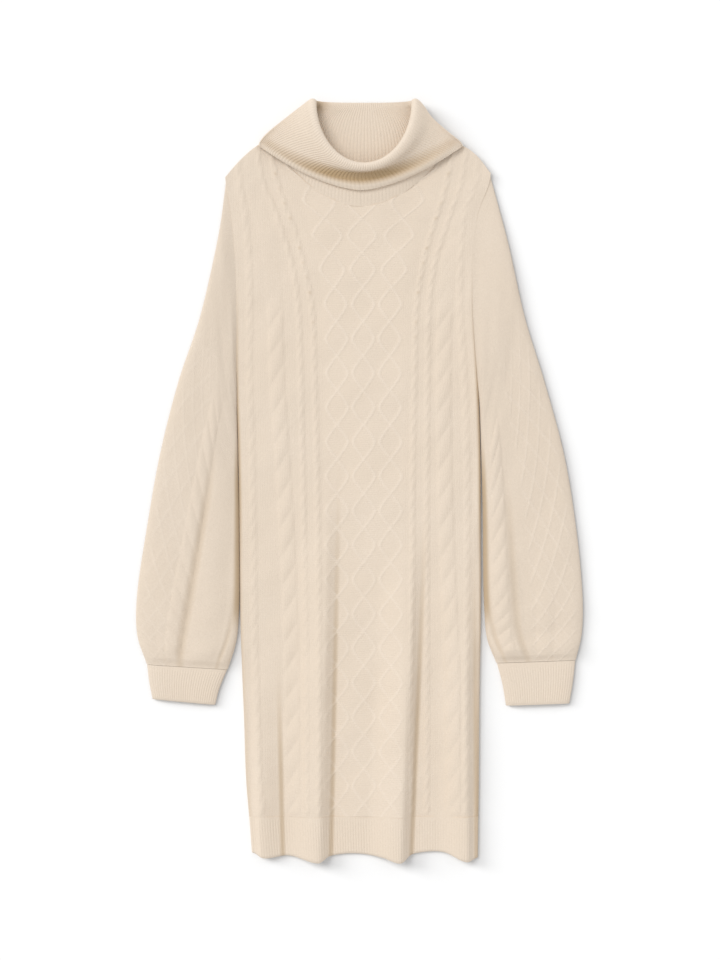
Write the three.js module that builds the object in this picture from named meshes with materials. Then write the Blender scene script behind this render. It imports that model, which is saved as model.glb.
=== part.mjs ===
// Sweater dress in cable knit, laid flat on its back with its front up.
// Units are millimetres. +X is to the viewer's right, +Y towards the collar, +Z up from the surface.
// Every piece is a wall of knitted cloth: a plain under face, and an upper face with raised ribs and cables.
import * as THREE from 'three';

// Driving sizes of the cloth.
const WALL = 3;
const SEAM_GAP = 0.3;
const RIB_PITCH = 3.7;
const RIB_RELIEF = 1.1;

// Side edges of the body from the shoulder tips down to the hem.
const BODY = [
  { y: 450, left: -186, right: 181 },
  { y: 414, left: -185, right: 180 },
  { y: 365, left: -177.3, right: 163 },
  { y: 303, left: -171.8, right: 158 },
  { y: 234, left: -170.4, right: 158 },
  { y: 145, left: -171, right: 163.5 },
  { y: 41, left: -167.7, right: 167 },
  { y: -83, left: -165.6, right: 167.7 },
  { y: -194, left: -164.5, right: 167.7 },
  { y: -269, left: -162, right: 166.3 },
  { y: -332, left: -159.4, right: 165.6 },
  { y: -414, left: -156.6, right: 165 },
  { y: -476, left: -151.5, right: 164.2 },
  { y: -530, left: -147.5, right: 163.5 },
];
// Shoulders: height beside the neck, height of each tip, and how fully the line bows between them.
const SHOULDER_NECK_Y = 458;
const SHOULDERS = {
  left: { tipY: 418, fullness: 2.4 },
  right: { tipY: 424, fullness: 3.1 },
};
const HEM_SEAM_Y = -465;
const PATTERN_TOP_Y = 361;

// Lines that the knitted columns follow up the front, from the hem to the shoulders.
const WALES = [
  { y: 450, ropeLeft: -150, smallLeft: -125,
    latticeLeft: -84, latticeMid: 3, latticeRight: 88, smallRight: 130, ropeRight: 150 },
  { y: 380, ropeLeft: -140, smallLeft: -103,
    latticeLeft: -54, latticeMid: 3, latticeRight: 64, smallRight: 112, ropeRight: 137 },
  { y: 300, ropeLeft: -122, smallLeft: -78,
    latticeLeft: -39, latticeMid: 4, latticeRight: 49, smallRight: 88, ropeRight: 120 },
  { y: 240, ropeLeft: -117, smallLeft: -66,
    latticeLeft: -33, latticeMid: 5, latticeRight: 42, smallRight: 79, ropeRight: 113 },
  { y: 140, ropeLeft: -114, smallLeft: -62,
    latticeLeft: -31, latticeMid: 5, latticeRight: 42, smallRight: 76, ropeRight: 113 },
  { y: 40, ropeLeft: -107, smallLeft: -59,
    latticeLeft: -31, latticeMid: 6, latticeRight: 43, smallRight: 74, ropeRight: 115 },
  { y: -100, ropeLeft: -99, smallLeft: -57,
    latticeLeft: -31, latticeMid: 6, latticeRight: 43, smallRight: 73, ropeRight: 120 },
  { y: -250, ropeLeft: -94, smallLeft: -56,
    latticeLeft: -31, latticeMid: 6, latticeRight: 43, smallRight: 72, ropeRight: 127 },
  { y: -465, ropeLeft: -92, smallLeft: -56,
    latticeLeft: -31, latticeMid: 6, latticeRight: 43, smallRight: 72, ropeRight: 129 },
];

// Raised pattern: length of one repeat, half width and height of each kind.
const LATTICE = { repeat: 48, halfWidth: 0.17, relief: 2.2 };
const ROPE = { repeat: 36, halfWidth: 11, relief: 2.8 };
const SMALL_CABLE = { repeat: 24, halfWidth: 4, relief: 1.7 };
const EDGE_CABLE = { inset: 12, repeat: 24, halfWidth: 5, relief: 1.5 };

// Soft folds that run up from the hem. Crests are steep on their right-hand side.
const FOLDS = [
  { hemX: -136, topX: -141, topY: -250, height: 9, widthLeft: 16, widthRight: 34 },
  { hemX: -56, topX: -45, topY: 60, height: 19, widthLeft: 46, widthRight: 19 },
  { hemX: 57, topX: 76, topY: -10, height: 20, widthLeft: 48, widthRight: 18 },
  { hemX: 146, topX: 143, topY: -60, height: 13, widthLeft: 40, widthRight: 18 },
];

// Lower edge of the hem rib, which dips towards the viewer at each fold.
const HEM_EDGE = [
  { x: -150, y: -515 },
  { x: -136, y: -522 },
  { x: -100, y: -519 },
  { x: -60, y: -528 },
  { x: -44, y: -520 },
  { x: -10, y: -516 },
  { x: 30, y: -521 },
  { x: 56, y: -528 },
  { x: 73, y: -517 },
  { x: 115, y: -514 },
  { x: 148, y: -527 },
  { x: 166, y: -521 },
];

// Sleeves from the armhole to the cuff seam: the outer and inner ends of each section.
const SLEEVE_LEFT = [
  { outerX: -186, outerY: 418, innerX: -172, innerY: 145, crown: 7.2 },
  { outerX: -197, outerY: 331, innerX: -171, innerY: 112, crown: 9.6 },
  { outerX: -220, outerY: 227, innerX: -170, innerY: 70, crown: 10.4 },
  { outerX: -250.5, outerY: 135, innerX: -169, innerY: 16, crown: 10.8 },
  { outerX: -276, outerY: 34, innerX: -167.5, innerY: -50, crown: 11 },
  { outerX: -294, outerY: -67, innerX: -167, innerY: -116, crown: 11.2 },
  { outerX: -307, outerY: -155, innerX: -167, innerY: -180, crown: 11.2 },
  { outerX: -307.5, outerY: -212, innerX: -170, innerY: -222, crown: 10.8 },
  { outerX: -294, outerY: -255, innerX: -182, innerY: -262, crown: 9.2 },
];
const SLEEVE_RIGHT = [
  { outerX: 181, outerY: 424, innerX: 164.5, innerY: 145, crown: 7.2 },
  { outerX: 205, outerY: 331, innerX: 167, innerY: 112, crown: 9.6 },
  { outerX: 228, outerY: 227, innerX: 168.5, innerY: 70, crown: 10.4 },
  { outerX: 256, outerY: 135, innerX: 170, innerY: 16, crown: 10.8 },
  { outerX: 283, outerY: 34, innerX: 171.5, innerY: -50, crown: 11 },
  { outerX: 299.5, outerY: -67, innerX: 172, innerY: -116, crown: 11.2 },
  { outerX: 308, outerY: -155, innerX: 173, innerY: -178, crown: 11.2 },
  { outerX: 307.5, outerY: -210, innerX: 176, innerY: -218, crown: 10.8 },
  { outerX: 299, outerY: -249, innerX: 189, innerY: -253, crown: 9.2 },
];

// Long creases down each sleeve: place across the section from outer to inner end, at the top and the cuff.
const CREASES_LEFT = [
  { from: 0.62, to: 0.64, start: 0.3, width: 0.1, height: 4.2 },
  { from: 0.4, to: 0.45, start: 0.72, width: 0.07, height: 2.6 },
  { from: 0.16, to: 0.2, start: 0.55, width: 0.09, height: 2 },
];
const CREASES_RIGHT = [
  { from: 0.58, to: 0.6, start: 0.34, width: 0.1, height: 3.6 },
  { from: 0.34, to: 0.4, start: 0.62, width: 0.08, height: 2.6 },
  { from: 0.8, to: 0.84, start: 0.78, width: 0.06, height: 2.2 },
];
const SLEEVE_ROPE = { place: 0.8, halfWidth: 0.11, repeats: 10, relief: 2.4 };
// The hollow of a sleeve or cuff that lies flat. Cloth folded into a crease fills its wall above this.
const SLEEVE_HOLLOW = 3.2;
const SLEEVE_LATTICE = { from: 0.04, to: 0.66, columns: 4, repeats: 9, halfWidth: 0.16, relief: 1.8 };

// Cuffs: sections from the sleeve seam to the open end.
const CUFF_LEFT = [
  { outerX: -293.5, outerY: -255.4, innerX: -183, innerY: -262.3, crown: 9 },
  { outerX: -290.5, outerY: -280, innerX: -193.5, innerY: -288, crown: 9.4 },
  { outerX: -286, outerY: -303, innerX: -199.5, innerY: -311, crown: 8.6 },
];
const CUFF_RIGHT = [
  { outerX: 298.4, outerY: -249.4, innerX: 190, innerY: -253.4, crown: 9 },
  { outerX: 295, outerY: -279, innerX: 197.5, innerY: -282, crown: 9.4 },
  { outerX: 290, outerY: -309, innerX: 202.5, innerY: -312, crown: 8.6 },
];

// Collar: rings along the folded rib tube, from the neck seam over the rim to the loose edge.
// Each ring has its left and right ends, its middle at the front and back, and a height at each.
// point and round shape the front half of the ring.
const COLLAR = [
  { leftX: -120, rightX: 125, sideY: 462, frontY: 378, backY: 430,
    frontZ: 5.3, sideZ: 5.1, backZ: 1.8, point: 2, round: 1 },
  { leftX: -117, rightX: 122, sideY: 466, frontY: 394, backY: 452,
    frontZ: 9, sideZ: 6.9, backZ: 5, point: 2, round: 0.95 },
  { leftX: -107, rightX: 113, sideY: 476, frontY: 409, backY: 476,
    frontZ: 11, sideZ: 9.6, backZ: 5.4, point: 2, round: 0.85 },
  { leftX: -86, rightX: 94, sideY: 494, frontY: 425, backY: 499,
    frontZ: 16.5, sideZ: 12.5, backZ: 5.4, point: 2, round: 0.6 },
  { leftX: -62, rightX: 74, sideY: 517, frontY: 436.5, backY: 515,
    frontZ: 29, sideZ: 17, backZ: 5.3, point: 2, round: 0.5 },
  { leftX: -65, rightX: 77, sideY: 523, frontY: 434, backY: 519.5,
    frontZ: 34, sideZ: 18.6, backZ: 3.5, point: 2, round: 0.5 },
  { leftX: -76, rightX: 86, sideY: 516, frontY: 429, backY: 515,
    frontZ: 34, sideZ: 16, backZ: 1.8, point: 2, round: 0.52 },
  { leftX: -103, rightX: 100, sideY: 497, frontY: 420, backY: 501,
    frontZ: 30, sideZ: 14, backZ: 1.8, point: 1.9, round: 0.65 },
  { leftX: -129, rightX: 122, sideY: 475, frontY: 412.5, backY: 484,
    frontZ: 20, sideZ: 13, backZ: 1.8, point: 1.7, round: 0.85 },
  { leftX: -140, rightX: 136, sideY: 464.5, frontY: 407.5, backY: 473,
    frontZ: 17, sideZ: 12.2, backZ: 1.8, point: 1.6, round: 1 },
  { leftX: -143.5, rightX: 143.5, sideY: 459, frontY: 401.5, backY: 466,
    frontZ: 14.6, sideZ: 11.4, backZ: 1.8, point: 1.6, round: 1 },
];
// The front and back of the flattened tube part quickly from its side folds.
const LAYER_LIFT = 4;
// Shape of every ring's back half.
const BACK_POINT = 3;
const BACK_ROUND = 0.6;
// The tube's wall is pressed thinner at its side folds: shares of the wall there, and how far this reaches.
const FOLD_WALL_SHARE = { neckband: 0.3, collar: 0.75 };
const FOLD_REACH = 0.16;
const COLLAR_RIBS = 60;
const COLLAR_RIB_RELIEF = 1;
// The neckband is the foot of the same tube: it ends at this share of the way to the loose edge.
const NECKBAND_SHARE = 0.2;
const NECKBAND_GAP_SHARE = 0.0105;

// How the cloth gives way near its seams and ends.
const FADE_IN = 6;
const SIDE_SLOPE = 14;
const FOLD_FULL_SHARE = 0.75;
const SIDE_FOLD_Z = 3;
const SIDE_FOLD_SHARPNESS = 6;
const CREASE_GROWTH = 4;
const PATTERN_CLEAR_ENDS = 8;
const ARMHOLE_EASE = 5;
// Clearances of the sleeve's first section outside the armhole, which cover the facets of its curve.
const ARMHOLE_CLEARANCE = { left: -0.9, right: 1.9 };
// Neck edges of the panels, just clear of the neckband: their middle and side heights and their shape.
const NECK_SIDE_CLEARANCE = 1;
const FRONT_NECK = { middleY: COLLAR[0].frontY - 1.6, sideY: 457, point: COLLAR[0].point, round: 1 };
const BACK_NECK = { middleY: COLLAR[0].backY - 3, sideY: 456, point: BACK_POINT, round: BACK_ROUND };

// Mesh fineness.
const ROW_PITCH = 12;
const SHOULDER_ROWS = 5;
const SLEEVE_ROWS = 22;
const SLEEVE_COLUMNS = 20;
const BACK_COLUMNS = 16;
const BACK_ROWS = 16;
const HEM_BACK_COLUMNS = 24;
const CUFF_UNDER_COLUMNS = 14;

const PAINT = {
  panel: { color: 0xead9c4, roughness: 0.95, metalness: 0 },
  rib: { color: 0xe8d7be, roughness: 0.95, metalness: 0 },
};

function clamp(value, low, high) {
  return Math.min(high, Math.max(low, value));
}

function mix(a, b, t) {
  return a + (b - a) * t;
}

function smoothStep(t) {
  const c = clamp(t, 0, 1);
  return c * c * (3 - 2 * c);
}

// Smooth curve through one column of a table, at a place given along its key column.
function tableValue(rows, key, column, place) {
  const rising = rows[rows.length - 1][key] > rows[0][key];
  const list = rising ? rows : [...rows].reverse();
  const last = list.length - 1;
  const t = clamp(place, list[0][key], list[last][key]);
  let i = 0;
  while (i < last - 1 && t > list[i + 1][key]) {
    i += 1;
  }
  const slopeAt = (k) => {
    const a = list[Math.max(0, k - 1)];
    const b = list[Math.min(last, k + 1)];
    return (b[column] - a[column]) / (b[key] - a[key]);
  };
  const span = list[i + 1][key] - list[i][key];
  const s = (t - list[i][key]) / span;
  const s2 = s * s;
  const s3 = s2 * s;
  return (2 * s3 - 3 * s2 + 1) * list[i][column]
    + (s3 - 2 * s2 + s) * span * slopeAt(i)
    + (3 * s2 - 2 * s3) * list[i + 1][column]
    + (s3 - s2) * span * slopeAt(i + 1);
}

// The same for a table whose rows are evenly spaced from 0 to 1.
function rowValue(rows, column, place) {
  const last = rows.length - 1;
  const t = clamp(place, 0, 1) * last;
  const i = Math.min(last - 1, Math.floor(t));
  const s = t - i;
  const at = (k) => rows[clamp(k, 0, last)][column];
  const slopeA = (at(i + 1) - at(i - 1)) / (i === 0 ? 1 : 2);
  const slopeB = (at(i + 2) - at(i)) / (i === last - 1 ? 1 : 2);
  const s2 = s * s;
  const s3 = s2 * s;
  return (2 * s3 - 3 * s2 + 1) * at(i) + (s3 - 2 * s2 + s) * slopeA
    + (3 * s2 - 2 * s3) * at(i + 1) + (s3 - s2) * slopeB;
}

// Raised shapes of the knitting.

function ridge(distance, halfWidth) {
  const t = Math.abs(distance) / halfWidth;
  return t < 1 ? Math.cos(t * Math.PI / 2) : 0;
}

function toNearestWhole(value) {
  return Math.abs(value - Math.round(value));
}

// A rope of slanted strands: across is -1 to 1 over its width, along counts its repeats.
function rope(across, along) {
  if (Math.abs(across) >= 1) {
    return 0;
  }
  const round = Math.sqrt(1 - across * across);
  return round * (0.35 + 0.65 * Math.abs(Math.cos(Math.PI * (along - 0.5 * across))));
}

function lattice(column, along, halfWidth) {
  const rising = toNearestWhole(column + along);
  const falling = toNearestWhole(column - along);
  return Math.max(ridge(rising, halfWidth), ridge(falling, halfWidth));
}

function frontRelief(x, y) {
  const wale = (name) => tableValue(WALES, 'y', name, y);
  const fade = smoothStep((x - tableValue(BODY, 'y', 'left', y)) / FADE_IN)
    * smoothStep((tableValue(BODY, 'y', 'right', y) - x) / FADE_IN);
  let height = 0;
  const mid = wale('latticeMid');
  const spacing = x < mid ? mid - wale('latticeLeft') : wale('latticeRight') - mid;
  const column = (x - mid) / spacing;
  if (Math.abs(column) < 1.5 + LATTICE.halfWidth) {
    const along = (y - PATTERN_TOP_Y) / LATTICE.repeat;
    const inside = smoothStep((1.5 + LATTICE.halfWidth - Math.abs(column)) / LATTICE.halfWidth);
    height = LATTICE.relief * inside * lattice(column, along, LATTICE.halfWidth);
  }
  const alongRope = (y - PATTERN_TOP_Y) / ROPE.repeat;
  const alongSmall = (y - PATTERN_TOP_Y) / SMALL_CABLE.repeat;
  for (const name of ['ropeLeft', 'ropeRight']) {
    height = Math.max(height, ROPE.relief * rope((x - wale(name)) / ROPE.halfWidth, alongRope));
  }
  for (const name of ['smallLeft', 'smallRight']) {
    const across = (x - wale(name)) / SMALL_CABLE.halfWidth;
    height = Math.max(height, SMALL_CABLE.relief * rope(across, alongSmall));
  }
  const edges = [
    x - tableValue(BODY, 'y', 'left', y) - EDGE_CABLE.inset,
    x - tableValue(BODY, 'y', 'right', y) + EDGE_CABLE.inset,
  ];
  for (const distance of edges) {
    const across = distance / EDGE_CABLE.halfWidth;
    height = Math.max(height, EDGE_CABLE.relief * rope(across, (y - PATTERN_TOP_Y) / EDGE_CABLE.repeat));
  }
  return height * fade;
}

// Height of the front's under face: it lies on the back, and lifts where a fold runs.
function frontLift(x, y) {
  let lift = 0;
  for (const fold of FOLDS) {
    const along = (y - HEM_SEAM_Y) / (fold.topY - HEM_SEAM_Y);
    const crest = mix(fold.hemX, fold.topX, along);
    const strength = smoothStep((fold.topY - y) / (FOLD_FULL_SHARE * (fold.topY - HEM_SEAM_Y)));
    const width = x < crest ? fold.widthLeft : fold.widthRight;
    const t = Math.abs(x - crest) / width;
    if (t < 1) {
      lift = Math.max(lift, fold.height * strength * 0.5 * (1 + Math.cos(Math.PI * t)));
    }
  }
  const nearest = Math.min(x - tableValue(BODY, 'y', 'left', y), tableValue(BODY, 'y', 'right', y) - x);
  return WALL + SEAM_GAP + lift * smoothStep(nearest / SIDE_SLOPE);
}

// Mesh building: grids of points, joined into closed bodies.

class Body {
  constructor() {
    this.points = [];
    this.faces = [];
  }

  add(point) {
    this.points.push(point);
    return this.points.length - 1;
  }

  grid(rows) {
    return rows.map((row) => row.map((point) => this.add(point)));
  }

  // Two triangles for a quad, split along the diagonal that runs higher.
  quad(a, b, c, d, flip) {
    const p = this.points;
    const along = p[a].z + p[c].z >= p[b].z + p[d].z;
    const faces = along ? [[a, b, c], [a, c, d]] : [[a, b, d], [b, c, d]];
    for (const [i, j, k] of faces) {
      this.faces.push(flip ? [i, k, j] : [i, j, k]);
    }
  }

  skin(ids, flip, closed) {
    for (let r = 0; r + 1 < ids.length; r += 1) {
      const count = ids[r].length;
      const end = closed ? count : count - 1;
      for (let c = 0; c < end; c += 1) {
        const n = (c + 1) % count;
        this.quad(ids[r][c], ids[r][n], ids[r + 1][n], ids[r + 1][c], flip);
      }
    }
  }

  // Joins two edges with a strip of triangles. Each edge is a list of { id, at }, at rising along it.
  strip(first, second, flip) {
    let i = 0;
    let j = 0;
    while (i + 1 < first.length || j + 1 < second.length) {
      const nextFirst = i + 1 < first.length ? first[i + 1].at : Infinity;
      const nextSecond = j + 1 < second.length ? second[j + 1].at : Infinity;
      let face;
      if (nextFirst <= nextSecond) {
        face = [first[i].id, first[i + 1].id, second[j].id];
        i += 1;
      } else {
        face = [first[i].id, second[j + 1].id, second[j].id];
        j += 1;
      }
      this.faces.push(flip ? [face[0], face[2], face[1]] : face);
    }
  }

  // Signed volume, used to turn the body's faces outwards.
  volume() {
    let sum = 0;
    for (const [i, j, k] of this.faces) {
      const a = this.points[i];
      const b = this.points[j];
      const c = this.points[k];
      sum += a.dot(new THREE.Vector3().crossVectors(b, c));
    }
    return sum / 6;
  }

  geometry() {
    if (this.volume() < 0) {
      this.faces = this.faces.map(([i, j, k]) => [i, k, j]);
    }
    const geometry = new THREE.BufferGeometry();
    const numbers = this.points.flatMap((p) => p.toArray());
    geometry.setAttribute('position', new THREE.Float32BufferAttribute(numbers, 3));
    geometry.setIndex(this.faces.flat());
    geometry.computeVertexNormals();
    return geometry;
  }
}

function evenly(count) {
  return Array.from({ length: count + 1 }, (_, i) => i / count);
}

function everyNth(list, step) {
  return list.filter((_, i) => i % step === 0 || i === list.length - 1);
}

// A sheet: the upper face on a fine grid, the under face on a coarse one, with its four edges closed.
function sheet(columns, rows, upper, under, columnStep, rowStep) {
  const body = new Body();
  const coarseColumns = everyNth(columns, columnStep);
  const coarseRows = everyNth(rows, rowStep);
  const top = body.grid(rows.map((v) => columns.map((u) => upper(u, v))));
  const low = body.grid(coarseRows.map((v) => coarseColumns.map((u) => under(u, v))));
  body.skin(top, false, false);
  body.skin(low, true, false);
  const row = (ids, places) => ids.map((id, i) => ({ id, at: places[i] }));
  const side = (ids, c, places) => ids.map((line, i) => ({ id: line[c], at: places[i] }));
  const lastTop = columns.length - 1;
  const lastLow = coarseColumns.length - 1;
  body.strip(row(low[0], coarseColumns), row(top[0], columns), false);
  body.strip(row(top[rows.length - 1], columns), row(low[coarseRows.length - 1], coarseColumns), false);
  body.strip(side(top, 0, rows), side(low, 0, coarseRows), false);
  body.strip(side(low, lastLow, coarseRows), side(top, lastTop, rows), false);
  return body.geometry();
}

// A tube: the outer face and the inner face run round, and the two open ends are closed by rings.
function tube(around, rows, outer, inner, step, rowStep) {
  const body = new Body();
  const coarse = around.filter((_, i) => i % step === 0);
  const coarseRows = everyNth(rows, rowStep);
  const out = body.grid(rows.map((v) => around.map((u) => outer(u, v))));
  const low = body.grid(coarseRows.map((v) => coarse.map((u) => inner(u, v))));
  body.skin(out, false, true);
  body.skin(low, true, true);
  const ring = (ids, places) => {
    const list = ids.map((id, i) => ({ id, at: places[i] }));
    list.push({ id: ids[0], at: 1 });
    return list;
  };
  body.strip(ring(low[0], coarse), ring(out[0], around), false);
  body.strip(ring(out[rows.length - 1], around), ring(low[coarseRows.length - 1], coarse), false);
  return body.geometry();
}

// Front and back panels.

// Places of the grid's columns across the front at one height, following the knitted columns.
function frontColumns(y) {
  const wale = (name) => tableValue(WALES, 'y', name, y);
  const left = tableValue(BODY, 'y', 'left', y);
  const right = tableValue(BODY, 'y', 'right', y);
  const mid = wale('latticeMid');
  const leftSpacing = mid - wale('latticeLeft');
  const rightSpacing = wale('latticeRight') - mid;
  const ropeSteps = [-1, -0.5, 0, 0.5, 1].map((k) => k * ROPE.halfWidth);
  const smallSteps = [-1, 0, 1].map((k) => k * SMALL_CABLE.halfWidth);
  const edgeSteps = [-1, 0, 1].map((k) => EDGE_CABLE.inset + k * EDGE_CABLE.halfWidth);
  const list = [left, ...edgeSteps.map((k) => left + k)];
  list.push(...ropeSteps.map((k) => wale('ropeLeft') + k));
  list.push((wale('ropeLeft') + ROPE.halfWidth + wale('smallLeft') - SMALL_CABLE.halfWidth) / 2);
  list.push(...smallSteps.map((k) => wale('smallLeft') + k));
  for (let k = -6; k <= 6; k += 1) {
    list.push(mid + (k / 4) * (k < 0 ? leftSpacing : rightSpacing));
  }
  list.push(...smallSteps.map((k) => wale('smallRight') + k));
  list.push((wale('ropeRight') - ROPE.halfWidth + wale('smallRight') + SMALL_CABLE.halfWidth) / 2);
  list.push(...ropeSteps.map((k) => wale('ropeRight') + k));
  list.push(...edgeSteps.map((k) => right - k).reverse(), right);
  return list;
}

// Upper outline of a panel: the short shoulders, then the neck between them.
function panelTop(x, neck) {
  const seam = COLLAR[0];
  const middle = (seam.leftX + seam.rightX) / 2;
  const halfWidth = (seam.rightX - seam.leftX) / 2 + NECK_SIDE_CLEARANCE;
  const s = Math.abs(x - middle) / halfWidth;
  if (s < 1) {
    return mix(neck.sideY, neck.middleY, (1 - s ** neck.point) ** neck.round);
  }
  const side = x < middle ? 'left' : 'right';
  const shoulder = SHOULDERS[side];
  const reach = Math.abs(BODY[1][side] - middle) - halfWidth;
  const along = clamp((s - 1) * halfWidth / reach, 0, 1);
  return mix(SHOULDER_NECK_Y, shoulder.tipY, along ** shoulder.fullness);
}

function frontPanel() {
  const fixedRows = [HEM_SEAM_Y];
  const count = Math.floor((PATTERN_TOP_Y - HEM_SEAM_Y) / ROW_PITCH);
  for (let i = count; i >= 0; i -= 1) {
    const y = PATTERN_TOP_Y - i * ROW_PITCH;
    if (y - HEM_SEAM_Y > ROW_PITCH / 3) {
      fixedRows.push(y);
    }
  }
  const rows = [...fixedRows];
  for (let i = 1; i <= SHOULDER_ROWS; i += 1) {
    rows.push(PATTERN_TOP_Y + i);
  }
  const columns = frontColumns(0).map((_, i) => i);
  // Finds where grid column c and row v meet; rows above the pattern spread out to the neck and shoulders.
  const place = (c, v) => {
    if (v <= PATTERN_TOP_Y) {
      return { x: frontColumns(v)[c], y: v };
    }
    const share = (v - PATTERN_TOP_Y) / SHOULDER_ROWS;
    let y = PATTERN_TOP_Y;
    for (let pass = 0; pass < 12; pass += 1) {
      const x = frontColumns(y)[c];
      y = mix(y, mix(PATTERN_TOP_Y, panelTop(x, FRONT_NECK), share), 0.6);
    }
    return { x: frontColumns(y)[c], y };
  };
  const upper = (c, v) => {
    const p = place(c, v);
    return new THREE.Vector3(p.x, p.y, frontLift(p.x, p.y) + WALL + frontRelief(p.x, p.y));
  };
  const under = (c, v) => {
    const p = place(c, v);
    return new THREE.Vector3(p.x, p.y, frontLift(p.x, p.y));
  };
  return sheet(columns, rows, upper, under, 2, 4);
}

function backPanel() {
  const columns = evenly(BACK_COLUMNS);
  const rows = evenly(BACK_ROWS);
  const at = (z) => (u, v) => {
    const edgeX = (y) => mix(tableValue(BODY, 'y', 'left', y), tableValue(BODY, 'y', 'right', y), u);
    const top = panelTop(edgeX(SHOULDERS.left.tipY), BACK_NECK);
    const y = mix(HEM_SEAM_Y, top, v);
    return new THREE.Vector3(edgeX(y), y, z);
  };
  return sheet(columns, rows, at(WALL), at(0), 1, 1);
}

// Hem ribs.

function hemPlace(u, v) {
  const seamY = HEM_SEAM_Y - SEAM_GAP;
  const seamX = mix(tableValue(BODY, 'y', 'left', seamY), tableValue(BODY, 'y', 'right', seamY), u);
  const edgeY = tableValue(HEM_EDGE, 'x', 'y', seamX);
  const y = mix(seamY, edgeY, v);
  const x = mix(tableValue(BODY, 'y', 'left', y), tableValue(BODY, 'y', 'right', y), u);
  return { x, y };
}

function hemRibFront() {
  const width = tableValue(BODY, 'y', 'right', HEM_SEAM_Y) - tableValue(BODY, 'y', 'left', HEM_SEAM_Y);
  const ribs = Math.round(width / RIB_PITCH);
  const columns = evenly(2 * ribs);
  const rows = [0, 0.5, 1];
  const upper = (u, v) => {
    const p = hemPlace(u, v);
    const raised = Math.round(u * 2 * ribs) % 2;
    return new THREE.Vector3(p.x, p.y, frontLift(p.x, p.y) + WALL + RIB_RELIEF * raised);
  };
  const under = (u, v) => {
    const p = hemPlace(u, v);
    return new THREE.Vector3(p.x, p.y, frontLift(p.x, p.y));
  };
  return sheet(columns, rows, upper, under, 6, 2);
}

function hemRibBack() {
  const columns = evenly(HEM_BACK_COLUMNS);
  const at = (z) => (u, v) => {
    const p = hemPlace(u, v);
    return new THREE.Vector3(p.x, p.y, z);
  };
  return sheet(columns, [0, 1], at(WALL), at(0), 1, 1);
}

// Sleeves and cuffs: flattened tubes that rest on a flat under side.

// A point of the section: across runs 0 to 1 from its outer to its inner end.
function sectionPoint(rows, v, across, armhole) {
  const x = mix(rowValue(rows, 'outerX', v), rowValue(rows, 'innerX', v), across);
  const y = mix(rowValue(rows, 'outerY', v), rowValue(rows, 'innerY', v), across);
  if (!armhole) {
    return { x, y };
  }
  const chord = mix(rows[0].outerX, rows[0].innerX, across);
  const seamY = mix(rows[0].outerY, rows[0].innerY, across);
  const seamX = tableValue(BODY, 'y', armhole, seamY) + ARMHOLE_CLEARANCE[armhole];
  return { x: x + (seamX - chord) * (1 - smoothStep(v * ARMHOLE_EASE)), y };
}

function roundedSide(across, sharpness) {
  return (1 - Math.abs(2 * across - 1) ** sharpness) ** 0.5;
}

// Outer and inner faces of a flattened tube. round goes 0 to 0.5 over the top and on to 1 below.
function flatTube(rows, armhole, relief) {
  const face = (round, v, inset) => {
    const top = round <= 0.5;
    const across = top ? round * 2 : 2 - round * 2;
    const p = sectionPoint(rows, v, across, armhole);
    const crown = rowValue(rows, 'crown', v);
    const half = Math.hypot(
      rowValue(rows, 'outerX', v) - rowValue(rows, 'innerX', v),
      rowValue(rows, 'outerY', v) - rowValue(rows, 'innerY', v),
    ) / 2;
    const centre = sectionPoint(rows, v, 0.5, armhole);
    const shrink = 1 - inset / half;
    const x = centre.x + (p.x - centre.x) * shrink;
    const y = centre.y + (p.y - centre.y) * shrink;
    const body = roundedSide(across, SIDE_FOLD_SHARPNESS);
    let z;
    if (top) {
      const lifted = crown - inset + relief.fold(across, v);
      const flattened = inset > 0 ? Math.min(lifted, WALL + SLEEVE_HOLLOW) : lifted;
      z = mix(SIDE_FOLD_Z + SEAM_GAP * inset / WALL, flattened, body);
    } else {
      z = mix(SIDE_FOLD_Z - SEAM_GAP * (1 - inset / WALL), inset, smoothStep(body * 1.6));
    }
    return new THREE.Vector3(x, y, z);
  };
  const outer = (round, v) => {
    const p = face(round, v, 0);
    if (round < 0.5 && round > 0) {
      p.z += relief.raised(round * 2, v);
    }
    return p;
  };
  const inner = (round, v) => face(round, v, WALL);
  return { outer, inner };
}

function sleeveRelief(creases) {
  const fold = (across, v) => {
    let height = 0;
    for (const crease of creases) {
      const centre = mix(crease.from, crease.to, v);
      const strength = smoothStep((v - crease.start) * CREASE_GROWTH);
      height += crease.height * strength * ridge(across - centre, crease.width);
    }
    return height;
  };
  const raised = (across, v) => {
    const clearEnds = smoothStep(v * PATTERN_CLEAR_ENDS);
    const ropeHeight = SLEEVE_ROPE.relief
      * rope((across - SLEEVE_ROPE.place) / SLEEVE_ROPE.halfWidth, v * SLEEVE_ROPE.repeats);
    const column = (across - SLEEVE_LATTICE.from) / (SLEEVE_LATTICE.to - SLEEVE_LATTICE.from);
    let latticeHeight = 0;
    if (column > 0 && column < 1) {
      latticeHeight = SLEEVE_LATTICE.relief
        * lattice(column * SLEEVE_LATTICE.columns, v * SLEEVE_LATTICE.repeats, SLEEVE_LATTICE.halfWidth);
    }
    return clearEnds * Math.max(ropeHeight, latticeHeight);
  };
  return { fold, raised };
}

function sleeve(rows, creases, armhole) {
  const around = [];
  for (let i = 0; i < SLEEVE_COLUMNS; i += 1) {
    around.push(0.5 * i / SLEEVE_COLUMNS);
  }
  const underColumns = SLEEVE_COLUMNS / 2;
  for (let i = 0; i < underColumns; i += 1) {
    around.push(0.5 + 0.5 * i / underColumns);
  }
  const along = evenly(SLEEVE_ROWS);
  const faces = flatTube(rows, armhole, sleeveRelief(creases));
  return tube(around, along, faces.outer, faces.inner, 2, 2);
}

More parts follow.
